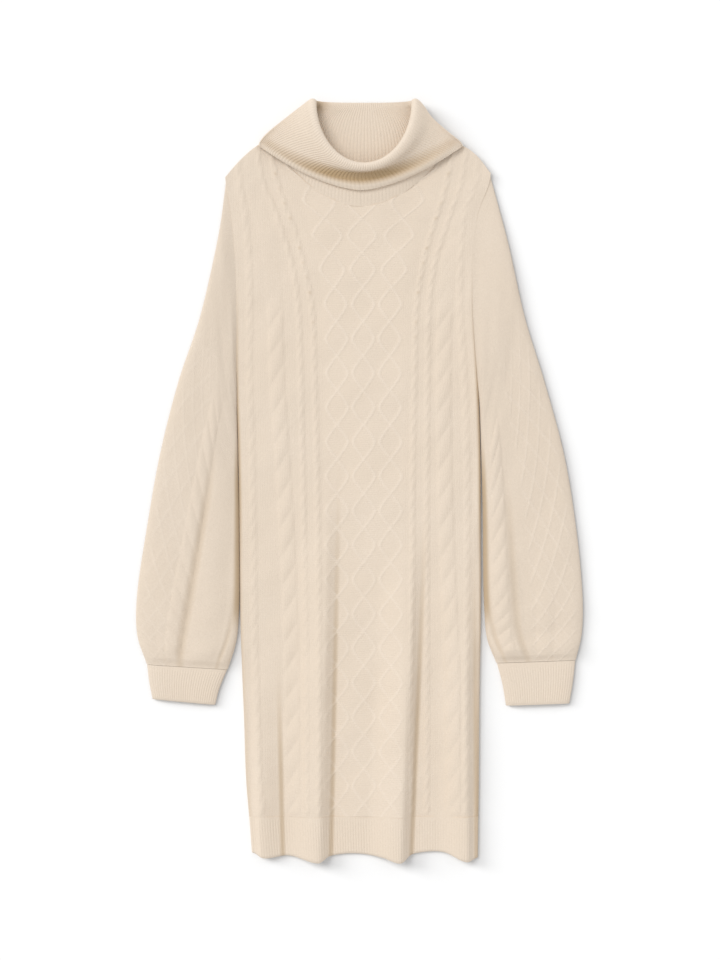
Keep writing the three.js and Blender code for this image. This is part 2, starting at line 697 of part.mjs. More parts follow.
function cuff(rows) {
  const width = Math.abs(rows[0].outerX - rows[0].innerX);
  const ribs = Math.round(width / RIB_PITCH);
  const around = [];
  for (let i = 0; i < 2 * ribs; i += 1) {
    around.push(0.25 * i / ribs);
  }
  for (let i = 0; i < CUFF_UNDER_COLUMNS; i += 1) {
    around.push(0.5 + 0.5 * i / CUFF_UNDER_COLUMNS);
  }
  const raised = (across) => (Math.round(across * 2 * ribs) % 2) * RIB_RELIEF;
  const faces = flatTube(rows, '', { fold: () => 0, raised });
  return tube(around, [0, 0.5, 1], faces.outer, faces.inner, 2, 2);
}

// Collar.

// Place on the middle of the collar's wall: turn 0 is the front, 0.25 the right side, 0.5 the back.
function collarPlace(turn, along) {
  const angle = turn * 2 * Math.PI;
  const s = Math.sin(angle);
  const front = Math.cos(angle) >= 0;
  const value = (column) => rowValue(COLLAR, column, along);
  const middle = (value('leftX') + value('rightX')) / 2;
  const half = (value('rightX') - value('leftX')) / 2;
  const point = front ? value('point') : BACK_POINT;
  const round = front ? value('round') : BACK_ROUND;
  const share = Math.max(0, 1 - Math.abs(s) ** point) ** round;
  const endY = front ? value('frontY') : value('backY');
  const endZ = front ? value('frontZ') : value('backZ');
  return new THREE.Vector3(
    middle + half * s,
    mix(value('sideY'), endY, share),
    mix(value('sideZ'), endZ, 1 - (1 - share) ** LAYER_LIFT),
  );
}

function collarNormal(turn, along) {
  const stepTurn = 0.004;
  const stepAlong = 0.012;
  const a = collarPlace(turn - stepTurn, along);
  const b = collarPlace(turn + stepTurn, along);
  const c = collarPlace(turn, clamp(along - stepAlong, 0, 1));
  const d = collarPlace(turn, clamp(along + stepAlong, 0, 1));
  return b.sub(a).cross(d.sub(c)).normalize();
}

function collarOffset(turn, along, distance) {
  return collarPlace(turn, along).addScaledVector(collarNormal(turn, along), distance);
}

function collarRib(turn) {
  return COLLAR_RIB_RELIEF * (Math.round(turn * 2 * COLLAR_RIBS) % 2);
}

function collarHalfWall(turn, foldShare) {
  const fromFold = (1 - Math.abs(Math.sin(turn * 2 * Math.PI))) / FOLD_REACH;
  return WALL / 2 * mix(foldShare, 1, smoothStep(fromFold));
}

function ringPlaces() {
  return evenly(2 * COLLAR_RIBS).slice(0, -1);
}

// The ribs show on the front of the turned-down part and on the inside of the standing back.
function collar() {
  const along = evenly(COLLAR.length - 1).slice(2);
  const outer = (turn, v) => {
    const front = Math.cos(turn * 2 * Math.PI);
    const shows = v >= 0.5 ? front > 0.1 : front < -0.1;
    return collarOffset(turn, v, -collarHalfWall(turn, FOLD_WALL_SHARE.collar) - (shows ? collarRib(turn) : 0));
  };
  const inner = (turn, v) => collarOffset(turn, v, collarHalfWall(turn, FOLD_WALL_SHARE.collar));
  return tube(ringPlaces(), along, outer, inner, 2, 2);
}

function neckband() {
  const outer = (turn, v) => {
    const shows = Math.cos(turn * 2 * Math.PI) > 0.4;
    return collarOffset(turn, v, collarHalfWall(turn, FOLD_WALL_SHARE.neckband) + (shows ? collarRib(turn) : 0));
  };
  const inner = (turn, v) => collarOffset(turn, v, -collarHalfWall(turn, FOLD_WALL_SHARE.neckband));
  const top = NECKBAND_SHARE - NECKBAND_GAP_SHARE;
  return tube(ringPlaces(), [0, top / 2, top], outer, inner, 2, 1);
}

// The dress.

const group = new THREE.Group();

function piece(name, geometry, paint) {
  const mesh = new THREE.Mesh(geometry, new THREE.MeshStandardMaterial(paint));
  mesh.name = name;
  group.add(mesh);
}

piece('front', frontPanel(), PAINT.panel);
piece('back', backPanel(), PAINT.panel);
piece('hem_rib_front', hemRibFront(), PAINT.rib);
piece('hem_rib_back', hemRibBack(), PAINT.rib);
piece('sleeve_left', sleeve(SLEEVE_LEFT, CREASES_LEFT, 'left'), PAINT.panel);
piece('sleeve_right', sleeve(SLEEVE_RIGHT, CREASES_RIGHT, 'right'), PAINT.panel);
piece('cuff_left', cuff(CUFF_LEFT), PAINT.rib);
piece('cuff_right', cuff(CUFF_RIGHT), PAINT.rib);
piece('neckband', neckband(), PAINT.rib);
piece('collar', collar(), PAINT.rib);

// The origin is the middle of the face that the dress rests on.
const box = new THREE.Box3().setFromObject(group);
const centre = box.getCenter(new THREE.Vector3());
for (const mesh of group.children) {
  mesh.geometry.translate(-centre.x, -centre.y, -box.min.z);
}

export default group;
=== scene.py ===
"""Sweater dress in cable knit, laid flat on its back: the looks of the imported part.

Sizes are millimetres until a mesh is made, in the part's own layout; the frame is in metres.
Each piece is a closed shell of knitted cloth: a fine upper face with ribs, cables and creases,
and a plain under face on the same form.
"""
import bpy
import math
import numpy as np
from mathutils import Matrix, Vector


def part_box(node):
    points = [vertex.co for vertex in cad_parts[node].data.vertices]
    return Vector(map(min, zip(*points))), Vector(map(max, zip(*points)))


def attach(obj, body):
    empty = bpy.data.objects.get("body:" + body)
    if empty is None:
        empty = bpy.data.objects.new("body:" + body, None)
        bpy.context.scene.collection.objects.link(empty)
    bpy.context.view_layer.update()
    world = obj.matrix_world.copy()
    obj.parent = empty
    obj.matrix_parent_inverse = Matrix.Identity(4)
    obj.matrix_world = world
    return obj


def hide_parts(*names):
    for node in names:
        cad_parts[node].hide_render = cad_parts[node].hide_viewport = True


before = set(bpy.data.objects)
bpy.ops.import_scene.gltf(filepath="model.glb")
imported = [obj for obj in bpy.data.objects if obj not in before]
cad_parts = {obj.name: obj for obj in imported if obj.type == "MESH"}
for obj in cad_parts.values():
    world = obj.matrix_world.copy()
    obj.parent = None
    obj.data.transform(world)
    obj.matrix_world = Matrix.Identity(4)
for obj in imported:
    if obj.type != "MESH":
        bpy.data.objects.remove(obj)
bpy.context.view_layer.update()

# Metres in a millimetre.
MM = 0.001

# Cloth: the wall's thickness, the gap at seams, and half the height of a row of stitches.
WALL = 3.0
SEAM_GAP = 0.3
HALF_STITCH = 1.5
# Ribs: width, height, how far they start below the plain wall, how fast they grow from the seam, roundness.
RIB_PITCH = 3.7
RIB_RELIEF = 0.5
RIB_SINK = 0.4
RIB_GROWTH = 6
RIB_ROUNDNESS = 0.8
# Side folds: how far from the edge the wall is rounded, and the least share of it that stays.
EDGE_ROUND = 4.0
EDGE_LEAST = 0.1
# Edges of the mesh that bend more than this many degrees stay sharp.
SHARP_ANGLE = 55

# Side edges of the body: height, left edge, right edge.
BODY = np.array([
    (450, -186, 181), (414, -185, 180), (365, -177.3, 163), (303, -171.8, 158),
    (234, -170.4, 158), (145, -171, 163.5), (41, -167.7, 167), (-83, -165.6, 167.7),
    (-194, -164.5, 167.7), (-269, -162, 166.3), (-332, -159.4, 165.6), (-414, -156.6, 165),
    (-476, -151.5, 164.2), (-530, -147.5, 163.5),
])
HEM_SEAM_Y = -465
# Height up to which the rows run level, and from which the cables' repeats are counted.
PATTERN_TOP_Y = 361

# Shoulders: height beside the neck, height of the tip, and how fully the line bows between.
SHOULDERS = {"left": (470, 418, 1.6), "right": (464, 424, 2.2)}

# Lines that the knitted columns follow up the front: height, then the place across of each column.
WALE_NAMES = (
    "y", "rope_left", "twin_left", "small_left", "lattice_left", "lattice_mid",
    "lattice_right", "small_right", "twin_right", "rope_right",
)
WALES = np.array([
    (450, -152, -141, -122, -84, 3, 88, 128, 147, 158),
    (405, -148, -132, -112, -65, 3, 74, 119, 139, 152),
    (380, -140, -120, -103, -54, 3, 64, 112, 130, 145),
    (345, -130, -108, -90, -46, 3, 56, 100, 118, 134),
    (300, -122, -94, -78, -39, 4, 49, 88, 104, 124),
    (240, -117, -85, -66, -33, 5, 42, 79, 96, 118),
    (140, -114, -81, -62, -31, 5, 42, 76, 94, 116),
    (40, -107, -79, -59, -31, 6, 43, 74, 93, 117),
    (-100, -99, -76, -57, -31, 6, 43, 73, 93, 121),
    (-250, -94, -74, -56, -31, 6, 43, 72, 93, 127),
    (-465, -92, -73, -56, -31, 6, 43, 72, 93, 129),
])

# Raised pattern: length of one repeat, half width and height of each kind.
# The lattice's strands are part straight, part curved, and low_share of their height is left at the hem.
LATTICE = {
    "repeat": 47.5, "half_width": 2.1, "relief": 0.9, "straight": 0.7, "sharpness": 0.98,
    "low_share": 0.8, "low_y": -300, "grows_over": 500,
}
# How far the lattice's strands swing to either side: height, distance.
LATTICE_REACH = np.array([
    (440, 24), (380, 21), (340, 19.5), (289, 16.5), (238, 15), (0, 15), (-465, 15.5),
])
LATTICE_GROUND_EDGE = 4
# The two ropes fade above top_y to the share of their height named above.
ROPE = {
    "repeat": 39.5, "half_width": 11, "slant": 0.42, "relief": 2.2,
    "top_y": 262, "above": 0.25, "fade": 40,
}
SMALL_CABLE = {"repeat": 20.5, "half_width": 4.2, "slant": 0.5, "relief": 1.5}
EDGE_CABLE = {"inset": 19, "repeat": 24, "half_width": 5, "slant": 0.45, "relief": 1.2}
STRAND_LEAST = 0.3
STRAND_ROUNDNESS = 0.8
PATTERN_FADE = 8

# Soft folds from the hem: crest at the hem, crest and height where it ends, height, widths either side.
FOLDS = (
    (-136, -141, -250, 8, 16, 34),
    (-56, -45, 60, 14, 46, 21),
    (57, 76, -10, 15, 48, 20),
    (146, 143, -60, 10, 40, 18),
)
FOLD_FULL_SHARE = 0.75
SIDE_SLOPE = 14
# Painted shade in the crease at the foot of a fold's steep side, and the shaded flank above it, where
# the strands' painted highlight is faded: place as a share of that side's width.
FOLD_CREASE_SHADE = {"place": 0.85, "half_width": 4.5}
FOLD_FLANK = {"place": 0.5, "half_width": 0.9}

# Soft unevenness of the cloth: it starts this far from the edges, and sinks no deeper than this.
SOFT_EDGE = 12
SOFT_LEAST = -1.2

# Strength of each part of the painted light: a painted highlight on the strands, faded on the shaded
# flanks of folds, and painted shade in the fold creases, the cable hollows and along the sides beside the
# sleeves.
FRONT_PAINTED_LIGHT = {"flank_fade": 0.8, "fold": 0.75, "dot": 0.5, "edge": 1.1}
# Painted shade along the body's sides beside the sleeves.
EDGE_PAINTED_SHADE = {"width": 5, "reach": 1.1, "top_y": 300, "grows_over": 200}
# Painted shade in the hollows between the strands of the inner small cables.
CABLE_HOLLOW_SHADE = {"size": 2.4, "full": 1.3, "low_share": 0.15, "low_y": 120, "grows_over": 150}
# Painted shade on the body's side where a sleeve lies against it, and this share as dark below the cuffs.
SHADE_BELOW_SLEEVE = {"share": 0.35, "y": -130, "grows_over": 120}

# Lower edge of the hem rib: place across, height.
HEM_EDGE = np.array([
    (-150, -515), (-136, -522), (-100, -519), (-60, -528), (-44, -520), (-10, -516),
    (30, -521), (56, -528), (73, -517), (115, -514), (148, -527), (166, -521),
])

# Where the hem's loose edge starts to turn down, as a share of its depth, and the least that stays.
HEM_TURN = 0.94
HEM_LEAST = 0.05

# Sections of the sleeves and cuffs: outer end, inner end, height of the crown.
SLEEVE_LEFT = np.array([
    (-186, 418, -172, 145, 7.2), (-197, 331, -171, 112, 9.6), (-220, 227, -170, 70, 10.4),
    (-250.5, 135, -169, 16, 10.8), (-276, 34, -167.5, -50, 11), (-294, -67, -167, -116, 11.2),
    (-307, -155, -167, -180, 11.2), (-307.5, -212, -170, -222, 10.8), (-294, -255, -182, -262, 9.2),
])
SLEEVE_RIGHT = np.array([
    (181, 424, 164.5, 145, 7.2), (205, 331, 167, 112, 9.6), (228, 227, 168.5, 70, 10.4),
    (256, 135, 170, 16, 10.8), (283, 34, 171.5, -50, 11), (299.5, -67, 172, -116, 11.2),
    (308, -155, 173, -178, 11.2), (307.5, -210, 176, -218, 10.8), (299, -249, 189, -253, 9.2),
])
CUFF_LEFT = np.array([
    (-293.5, -255.4, -183, -262.3, 9), (-290.5, -280, -193.5, -288, 9.4),
    (-286, -303, -199.5, -311, 8.6),
])
CUFF_RIGHT = np.array([
    (298.4, -249.4, 190, -253.4, 9), (295, -279, 197.5, -282, 9.4), (290, -309, 202.5, -312, 8.6),
])

# Ridges down the sleeves: place across at the top and the cuff, start, width, height.
RIDGES_LEFT = ((0.86, 0.66, 0.35, 0.16, 2.8), (0.4, 0.3, 0.72, 0.12, 1.4))
RIDGES_RIGHT = ((0.9, 0.72, 0.4, 0.15, 3.0), (0.34, 0.4, 0.62, 0.1, 1.6))
# Narrow troughs beside them: place across at shares of the length, start, width, depth.
TROUGHS_LEFT = (
    (((0, 0.68), (0.42, 0.64), (0.5, 0.62), (0.66, 0.55), (0.83, 0.48), (1, 0.41)), 0.34, 0.065, 1.8),
    (((0, 0.93), (0.7, 0.95), (1, 0.86)), 0.66, 0.035, 1.8),
    (((0, 0.3), (0.85, 0.28), (1, 0.24)), 0.84, 0.03, 0.9),
)
TROUGHS_RIGHT = (
    (((0, 0.66), (0.5, 0.7), (0.8, 0.68), (1, 0.6)), 0.4, 0.06, 1.5),
    (((0, 0.93), (0.7, 0.95), (1, 0.88)), 0.62, 0.035, 1.6),
    (((0, 0.36), (0.85, 0.34), (1, 0.3)), 0.86, 0.03, 0.8),
)
TROUGH_SHARPNESS = 1.5
CREASE_GROWTH = 4
# Windows are a start, how fast it grows, an end, and how fast it fades, in shares of the length.
SLEEVE_ROPE = {
    "half_width": 0.085, "repeats": 17, "slant": 0.42, "relief": 2.2, "window": (0.22, 6, 0.99, 12),
}
SLEEVE_LATTICE = {
    "start": 0.05, "end": 0.55, "columns": 3, "repeats": 14, "half_width": 0.08, "relief": 0.9,
    "side_rate": 4, "top": 0.15, "top_rate": 5, "rope_margin": 0.06, "rope_rate": 20,
}
# Place of the rope across each sleeve, at shares of the length.
SLEEVE_ROPE_LEFT = ((0, 0.64), (0.42, 0.55), (0.66, 0.46), (1, 0.33))
SLEEVE_ROPE_RIGHT = ((0, 0.72), (0.42, 0.81), (0.66, 0.84), (1, 0.8))
# Width and length over which the soft waves run on a sleeve, and how fast they grow.
SLEEVE_WAVES = {"width": 130, "length": 520, "growth": 6}
# Painted shade on the sleeves: trough depth that is painted fullest, strength in the troughs and along the
# inner edge against the body, and below, where that inner edge is shaded.
SLEEVE_PAINTED_SHADE = {"crease_depth": 2.4, "crease": 0.45, "shaded_inner_edge": 1.1}
INNER_EDGE_SHADE = {"start": 0.925, "rate": 20, "window": (0.25, 5, 0.85, 8)}
SLEEVE_MESH = {"top_columns": 80, "under_columns": 24, "along_rows": 320}
CUFF_MESH = {"under_columns": 24, "along_rows": 24}
SIDE_FOLD_Z = 3.0
SIDE_FOLD_SHARPNESS = 6
UNDER_SHARPNESS = 1.6
# How far a sleeve leans on the body's side, and where.
CONTACT = {"distance": 1.2, "window": (0, 6, 0.85, 5), "start_across": 0.8, "rate": 5}
ARMHOLE_EASE = 5
ARMHOLE_CLEARANCE = {"left": 1.5, "right": -1.5}
# Height of the sleeve at the armhole, just under the front's edge, and how fast it rises from there.
ARMHOLE_Z = 6.0
ARMHOLE_GROWTH = 9
# Puffed end: shares of the length where it starts, how long it grows, where it turns down, where it drops.
PUFF = {"start": 0.86, "grows_over": 0.08, "turns": 0.94, "drops": 0.965, "height": 3.0, "end_z": 8.6}
SETTLE_START = 0.93
# Cuffs: where the loose edge turns down and how far, and how far the top edge is drawn in.
CUFF_END = {"start": 0.9, "drop": 1.8}
CUFF_TOP = {"sink": 0.5, "rate": 4}
# Side folds of the body start below the armhole: height where each is full, and the length it grows over.
SIDE_FOLD_START = {"left": (110, 60), "right": (150, 230)}

# Rings of the collar from the neck seam over the rim to the loose edge: left, right and side height,
# front and back, heights of front, side and back, and the two numbers that shape the front half.
COLLAR = np.array([
    (-120, 125, 462, 378, 430, 4.8, 4.8, 1.8, 2, 1),
    (-117, 122, 466, 394, 452, 9, 6.9, 5, 2, 0.95),
    (-107, 113, 476, 409, 476, 11, 9.6, 5.4, 2, 0.85),
    (-86, 94, 494, 425, 499, 12.5, 12.5, 5.4, 2, 0.6),
    (-62, 74, 517, 433.5, 515, 27, 17, 5.3, 2, 0.5),
    (-65, 77, 523, 431, 519.5, 33.5, 18.6, 3.5, 2, 0.5),
    (-76, 86, 516, 425.5, 515, 31.5, 16, 1.8, 2, 0.5),
    (-101, 100, 497, 423, 501, 22, 14.4, 1.8, 1.9, 0.6),
    (-126, 123, 477, 415, 484, 15.4, 13, 1.8, 1.9, 0.8),
    (-135.5, 137, 466, 406.5, 473, 17.2, 12.2, 1.8, 1.8, 0.95),
    (-137.5, 141.5, 459.5, 399.5, 466, 14.2, 11.4, 1.8, 1.6, 1),
])
COLLAR_RIBS = 150
# Height of the whole tube as cloth, in millimetres.
COLLAR_HEIGHT = 150
COLLAR_RIB_RELIEF = 0.55
COLLAR_RIB_SINK = 0.3
COLLAR_RIB_GROWTH = 25
# Ribs of the neckband's front are lower, and those in the collar's crease higher.
NECKBAND_RIB_SHARE = 0.7
CREASE_RIB_GAIN = 0.6
# Deep crease across the loose flap, below its rolled rim, and how it runs on round the sides; its ribs
# are higher and it is painted with shade: place along the tube and half width.
FLAP_CREASE = (0.77, 0.15)
SIDE_CREASE = (0.87, 0.06)
# Share of the crease's painted shade that is left round the sides.
SIDE_CREASE_SHADE_SHARE = 0.22
# Painted highlight on the rolled rim, which is painted paler than the rest: place along the tube and half
# width.
RIM_HIGHLIGHT_BAND = (0.5, 0.07)
# Shaded corner inside the neck at the viewer's left: a window round the tube, the end along it, how fast.
CORNER = {"window": (0.6, 12, 0.78, 14), "end": 0.51, "rate": 20}
# Strength of the collar's painted light: a painted highlight on the rim, and painted shade in the crease and
# the shaded corner.
COLLAR_PAINTED_LIGHT = {"rim": 0.8, "crease": 1.7, "corner": 0.8}
# Share of the tube's length that is the neckband.
NECKBAND_SHARE = 0.2
LAYER_LIFT = 4
BACK_POINT = 3
BACK_ROUND = 0.6
# Steps for measuring the tube's slope: round it and along it.
STEP_TURN = 0.004
STEP_ALONG = 0.012

# Neck edges of the panels: middle and side heights, and the two numbers that shape them.
FRONT_NECK = (COLLAR[0, 3], COLLAR[0, 2], 2, 1)
BACK_NECK = (COLLAR[0, 4] - 3, 456, BACK_POINT, BACK_ROUND)

# Mesh fineness: height of a cell in millimetres, and columns to a rib.
CELL = 2.0
COLUMNS_PER_RIB = 6
# Rounds that place the rows below the neck, and how far each goes.
SETTLE_ROUNDS = 24
SETTLE_SHARE = 0.6

# The part's frame has its origin at the middle of its outline, a little above that of these tables.
FRAME_SHIFT_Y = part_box("hem_rib_front")[1][1] / MM - (HEM_SEAM_Y - SEAM_GAP)


# Curves and small functions.

class Curve:
    """A smooth curve through the points (place, value)."""

    def __init__(self, places, values):
        order = np.argsort(places)
        self.places = np.asarray(places, float)[order]
        self.values = np.asarray(values, float)[order]
        last = len(self.places) - 1
        before = np.maximum(np.arange(last + 1) - 1, 0)
        after = np.minimum(np.arange(last + 1) + 1, last)
        rise = self.values[after] - self.values[before]
        self.slopes = rise / (self.places[after] - self.places[before])

    def __call__(self, place):
        t = np.clip(place, self.places[0], self.places[-1])
        i = np.clip(np.searchsorted(self.places, t, side="left") - 1, 0, len(self.places) - 2)
        span = self.places[i + 1] - self.places[i]
        s = (t - self.places[i]) / span
        s2 = s * s
        s3 = s2 * s
        return (
            (2 * s3 - 3 * s2 + 1) * self.values[i]
            + (s3 - 2 * s2 + s) * span * self.slopes[i]
            + (3 * s2 - 2 * s3) * self.values[i + 1]
            + (s3 - s2) * span * self.slopes[i + 1]
        )


def row_curves(rows):
    places = np.linspace(0, 1, len(rows))
    return [Curve(places, rows[:, k]) for k in range(rows.shape[1])]


def smooth_step(t):
    c = np.clip(t, 0, 1)
    return c * c * (3 - 2 * c)


def mix(a, b, t):
    return a + (b - a) * t


def window(t, start, start_rate, end, end_rate):
    """0 up to start, grows to 1 at one rate, and fades at the other to 0 at end."""
    return smooth_step((t - start) * start_rate) * smooth_step((end - t) * end_rate)


def rounded_end(v, start, least=0):
    """Share of a height left towards a loose edge: 1 up to start, then a quarter circle down."""
    return np.sqrt(np.clip(1 - np.clip((v - start) / (1 - start), 0, 1) ** 2, least, 1))


def ridge(distance, half_width):
    t = np.abs(distance) / half_width
    return np.where(t < 1, np.cos(np.minimum(t, 1) * math.pi / 2), 0)


def wave_field(x, y, waves):
    """A soft uneven surface: a sum of a few slow waves (length, direction in degrees, phase, height)."""
    total = 0
    for length, direction, phase, height in waves:
        angle = math.radians(direction)
        along = x * math.cos(angle) + y * math.sin(angle)
        total = total + height * np.sin(2 * math.pi * along / length + phase)
    return total


# Length, direction in degrees, phase and height of each wave.
SOFT_WAVES = (
    (97, 12, 0.4, 0.5), (61, -24, 1.9, 0.36), (143, 71, 2.6, 0.4), (43, 34, 0.9, 0.2),
    (79, 98, 4.1, 0.3), (35, -63, 3.3, 0.14), (210, 20, 5.2, 0.6),
)

lattice_reach = Curve(LATTICE_REACH[:, 0], LATTICE_REACH[:, 1])
left_edge = Curve(BODY[:, 0], BODY[:, 1])
right_edge = Curve(BODY[:, 0], BODY[:, 2])
wales = {name: Curve(WALES[:, 0], WALES[:, k]) for k, name in enumerate(WALE_NAMES) if k}
hem_edge = Curve(HEM_EDGE[:, 0], HEM_EDGE[:, 1])


# Raised patterns of the knitting.

def rope(across, along, slant):
    """A rope of slanted strands: across is -1 to 1 over its width, along counts its repeats."""
    inside = np.clip(1 - across * across, 0, 1)
    strand = np.abs(np.cos(math.pi * (along - slant * across)))
    return np.sqrt(inside) * mix(STRAND_LEAST, 1, strand ** STRAND_ROUNDNESS)


def lattice_strands(x, y):
    """Three columns of paired thin strands, which part and cross again and again."""
    turns = np.sin(math.pi * (y - PATTERN_TOP_Y) / LATTICE["repeat"])
    straight = np.arcsin(LATTICE["sharpness"] * turns) / math.asin(LATTICE["sharpness"])
    swing = mix(turns, straight, LATTICE["straight"])
    height = np.zeros_like(x)
    for name in ("lattice_left", "lattice_mid", "lattice_right"):
        for side in (-1, 1):
            distance = x - wales[name](y) - side * lattice_reach(y) * swing
            height = np.maximum(height, ridge(distance, LATTICE["half_width"]))
    grown = smooth_step((y - LATTICE["low_y"]) / LATTICE["grows_over"])
    return height * mix(LATTICE["low_share"], 1, grown)


def lattice_ground(x, y):
    """1 inside the lattice's field, 0 outside it."""
    margin = lattice_reach(y) + LATTICE_GROUND_EDGE
    left = wales["lattice_left"](y) - margin
    right = wales["lattice_right"](y) + margin
    return window(x, left, 1 / LATTICE_GROUND_EDGE, right, 1 / LATTICE_GROUND_EDGE)


def front_relief(x, y):
    """Height of the raised pattern over the front's wall."""

    def cable(kind, distance):
        along = (y - PATTERN_TOP_Y) / kind["repeat"]
        return kind["relief"] * rope(distance / kind["half_width"], along, kind["slant"])

    height = LATTICE["relief"] * lattice_strands(x, y)
    strength = mix(ROPE["above"], 1, smooth_step((ROPE["top_y"] - y) / ROPE["fade"]))
    for name in ("rope_left", "rope_right"):
        height = np.maximum(height, strength * cable(ROPE, x - wales[name](y)))
    for name in ("small_left", "twin_left", "small_right", "twin_right"):
        height = np.maximum(height, cable(SMALL_CABLE, x - wales[name](y)))
    for edge, inset in ((left_edge, EDGE_CABLE["inset"]), (right_edge, -EDGE_CABLE["inset"])):
        height = np.maximum(height, cable(EDGE_CABLE, x - edge(y) - inset))
    return height * smooth_step((y - HEM_SEAM_Y) / PATTERN_FADE)


def folds_at(y):
    """Each fold at the height y: place of its crest, strength, height and its two widths."""
    for hem_x, top_x, top_y, height, width_left, width_right in FOLDS:
        reach = top_y - HEM_SEAM_Y
        crest = mix(hem_x, top_x, (y - HEM_SEAM_Y) / reach)
        strength = smooth_step((top_y - y) / (FOLD_FULL_SHARE * reach))
        yield crest, strength, height, width_left, width_right


def from_side(x, y):
    """Distance to the nearer side edge."""
    return np.minimum(x - left_edge(y), right_edge(y) - x)


def front_lift(x, y):
    """Height of the front's under face: it lies on the back, and lifts where a fold runs."""
    lift = np.zeros_like(x)
    for crest, strength, height, width_left, width_right in folds_at(y):
        width = np.where(x < crest, width_left, width_right)
        t = np.minimum(np.abs(x - crest) / width, 1)
        lift = np.maximum(lift, height * strength * 0.5 * (1 + np.cos(math.pi * t)))
    return WALL + SEAM_GAP + lift * smooth_step(from_side(x, y) / SIDE_SLOPE)


def side_fold_growth(side, y):
    """0 above the armhole, where the side is a seam, and 1 where it is a fold of the cloth."""
    full_y, length = SIDE_FOLD_START[side]
    return smooth_step((full_y + length - y) / length)


def shade_beside_sleeve(y):
    """Strength of the painted shade on the body's side: 1 where a sleeve lies against it, less below its
    cuff.
    """
    return mix(SHADE_BELOW_SLEEVE["share"], 1, smooth_step((y - SHADE_BELOW_SLEEVE["y"]) / SHADE_BELOW_SLEEVE["grows_over"]))


def edge_round(x, y):
    """Share of the wall's thickness left near the side folds, where the cloth turns down."""
    share = 1
    for side, nearest in (("left", x - left_edge(y)), ("right", right_edge(y) - x)):
        t = np.clip(nearest / EDGE_ROUND, 0, 1)
        turned = np.maximum(np.sqrt(np.maximum(1 - (1 - t) ** 2, 0)), EDGE_LEAST)
        share = share * mix(1, turned, side_fold_growth(side, y))
    return share


# Mesh building.

def grid_faces(rows, columns, first, closed):
    """Quads over a grid of points that starts at index first."""
    r = np.arange(rows - 1)[:, None]
    c = np.arange(columns if closed else columns - 1)[None, :]
    n = (c + 1) % columns
    a = first + r * columns + c
    b = first + r * columns + n
    d = first + (r + 1) * columns + c
    e = first + (r + 1) * columns + n
    return np.stack([a, b, e, d], axis=-1).reshape(-1, 4)


def strip_faces(first, first_at, second, second_at):
    """Triangles that join two edges, given as point numbers with their places along."""
    faces = []
    i = 0
    j = 0
    while i + 1 < len(first) or j + 1 < len(second):
        next_first = first_at[i + 1] if i + 1 < len(first) else math.inf
        next_second = second_at[j + 1] if j + 1 < len(second) else math.inf
        if next_first <= next_second:
            faces.append((first[i], first[i + 1], second[j]))
            i += 1
        else:
            faces.append((first[i], second[j + 1], second[j]))
            j += 1
    return faces


def every_nth(count, step):
    picks = list(range(0, count, step))
    if picks[-1] != count - 1:
        picks.append(count - 1)
    return np.array(picks)


def shell(name, upper, under, cloth, closed, step, painted_light=0, ground=0):
    """A closed body: the upper face on the whole grid, the under face on every step-th point.

    upper and under are arrays of points (rows, columns, 3) in millimetres, and cloth is the place
    of each point on the flat cloth, for the knitted texture. After step comes the painted light and shade:
    above 0 it is a painted highlight, where strands catch the light, and below 0 painted shade, in creases,
    hollows and shaded corners. ground is 1 where the cloth shows its purl side.
    """
    rows, columns = upper.shape[:2]
    row_picks = every_nth(rows, step)
    column_picks = np.arange(0, columns, step) if closed else every_nth(columns, step)
    low = under[np.ix_(row_picks, column_picks)]
    low_cloth = cloth[np.ix_(row_picks, column_picks)]
    points = np.concatenate([upper.reshape(-1, 3), low.reshape(-1, 3)])
    places = np.concatenate([cloth.reshape(-1, 2), low_cloth.reshape(-1, 2)])
    points[:, 1] += FRAME_SHIFT_Y
    points *= MM
    start = rows * columns
    top = grid_faces(rows, columns, 0, closed)
    bottom = grid_faces(len(row_picks), len(column_picks), start, closed)[:, ::-1]
    top_ids = np.arange(rows * columns).reshape(rows, columns)
    low_ids = start + np.arange(low.shape[0] * low.shape[1]).reshape(low.shape[:2])

    def strip(low_edge, low_at, top_edge, top_at, flip):
        made = strip_faces(list(low_edge), list(low_at), list(top_edge), list(top_at))
        return [face[::-1] if flip else face for face in made]

    strips = []
    for row, flip in ((0, False), (-1, True)):
        if closed:
            strips += strip([*low_ids[row], low_ids[row][0]], [*column_picks, columns],
                            [*top_ids[row], top_ids[row][0]], range(columns + 1), flip)
        else:
            strips += strip(low_ids[row], column_picks, top_ids[row], range(columns), flip)
    if not closed:
        for column, flip in ((0, True), (-1, False)):
            strips += strip(low_ids[:, column], row_picks, top_ids[:, column], range(rows), flip)
    faces = [tuple(f) for f in top] + [tuple(f) for f in bottom] + strips
    mesh = bpy.data.meshes.new(name)
    mesh.from_pydata(points.tolist(), [], faces)
    layer = mesh.uv_layers.new(name="cloth")
    corners = np.empty(len(mesh.loops), dtype=np.int32)
    mesh.loops.foreach_get("vertex_index", corners)
    layer.data.foreach_set("uv", places[corners].astype(np.float32).ravel())
    # The painted light and shade is kept on the upper face's points, for the material.
    for label, values in (("painted_light", painted_light), ("ground", ground)):
        upper_values = np.broadcast_to(values, (rows, columns)).ravel()
        numbers = np.concatenate([upper_values, np.zeros(len(points) - start)])
        attribute = mesh.attributes.new(label, "FLOAT", "POINT")
        attribute.data.foreach_set("value", numbers.astype(np.float32))
    smooth = np.ones(len(faces), dtype=bool)
    smooth[len(top) + len(bottom):] = False
    mesh.polygons.foreach_set("use_smooth", smooth)
    mesh.validate()
    mesh.set_sharp_from_angle(angle=math.radians(SHARP_ANGLE))
    piece = bpy.data.objects.new(name, mesh)
    bpy.context.scene.collection.objects.link(piece)
    turn_outwards(mesh)
    return piece


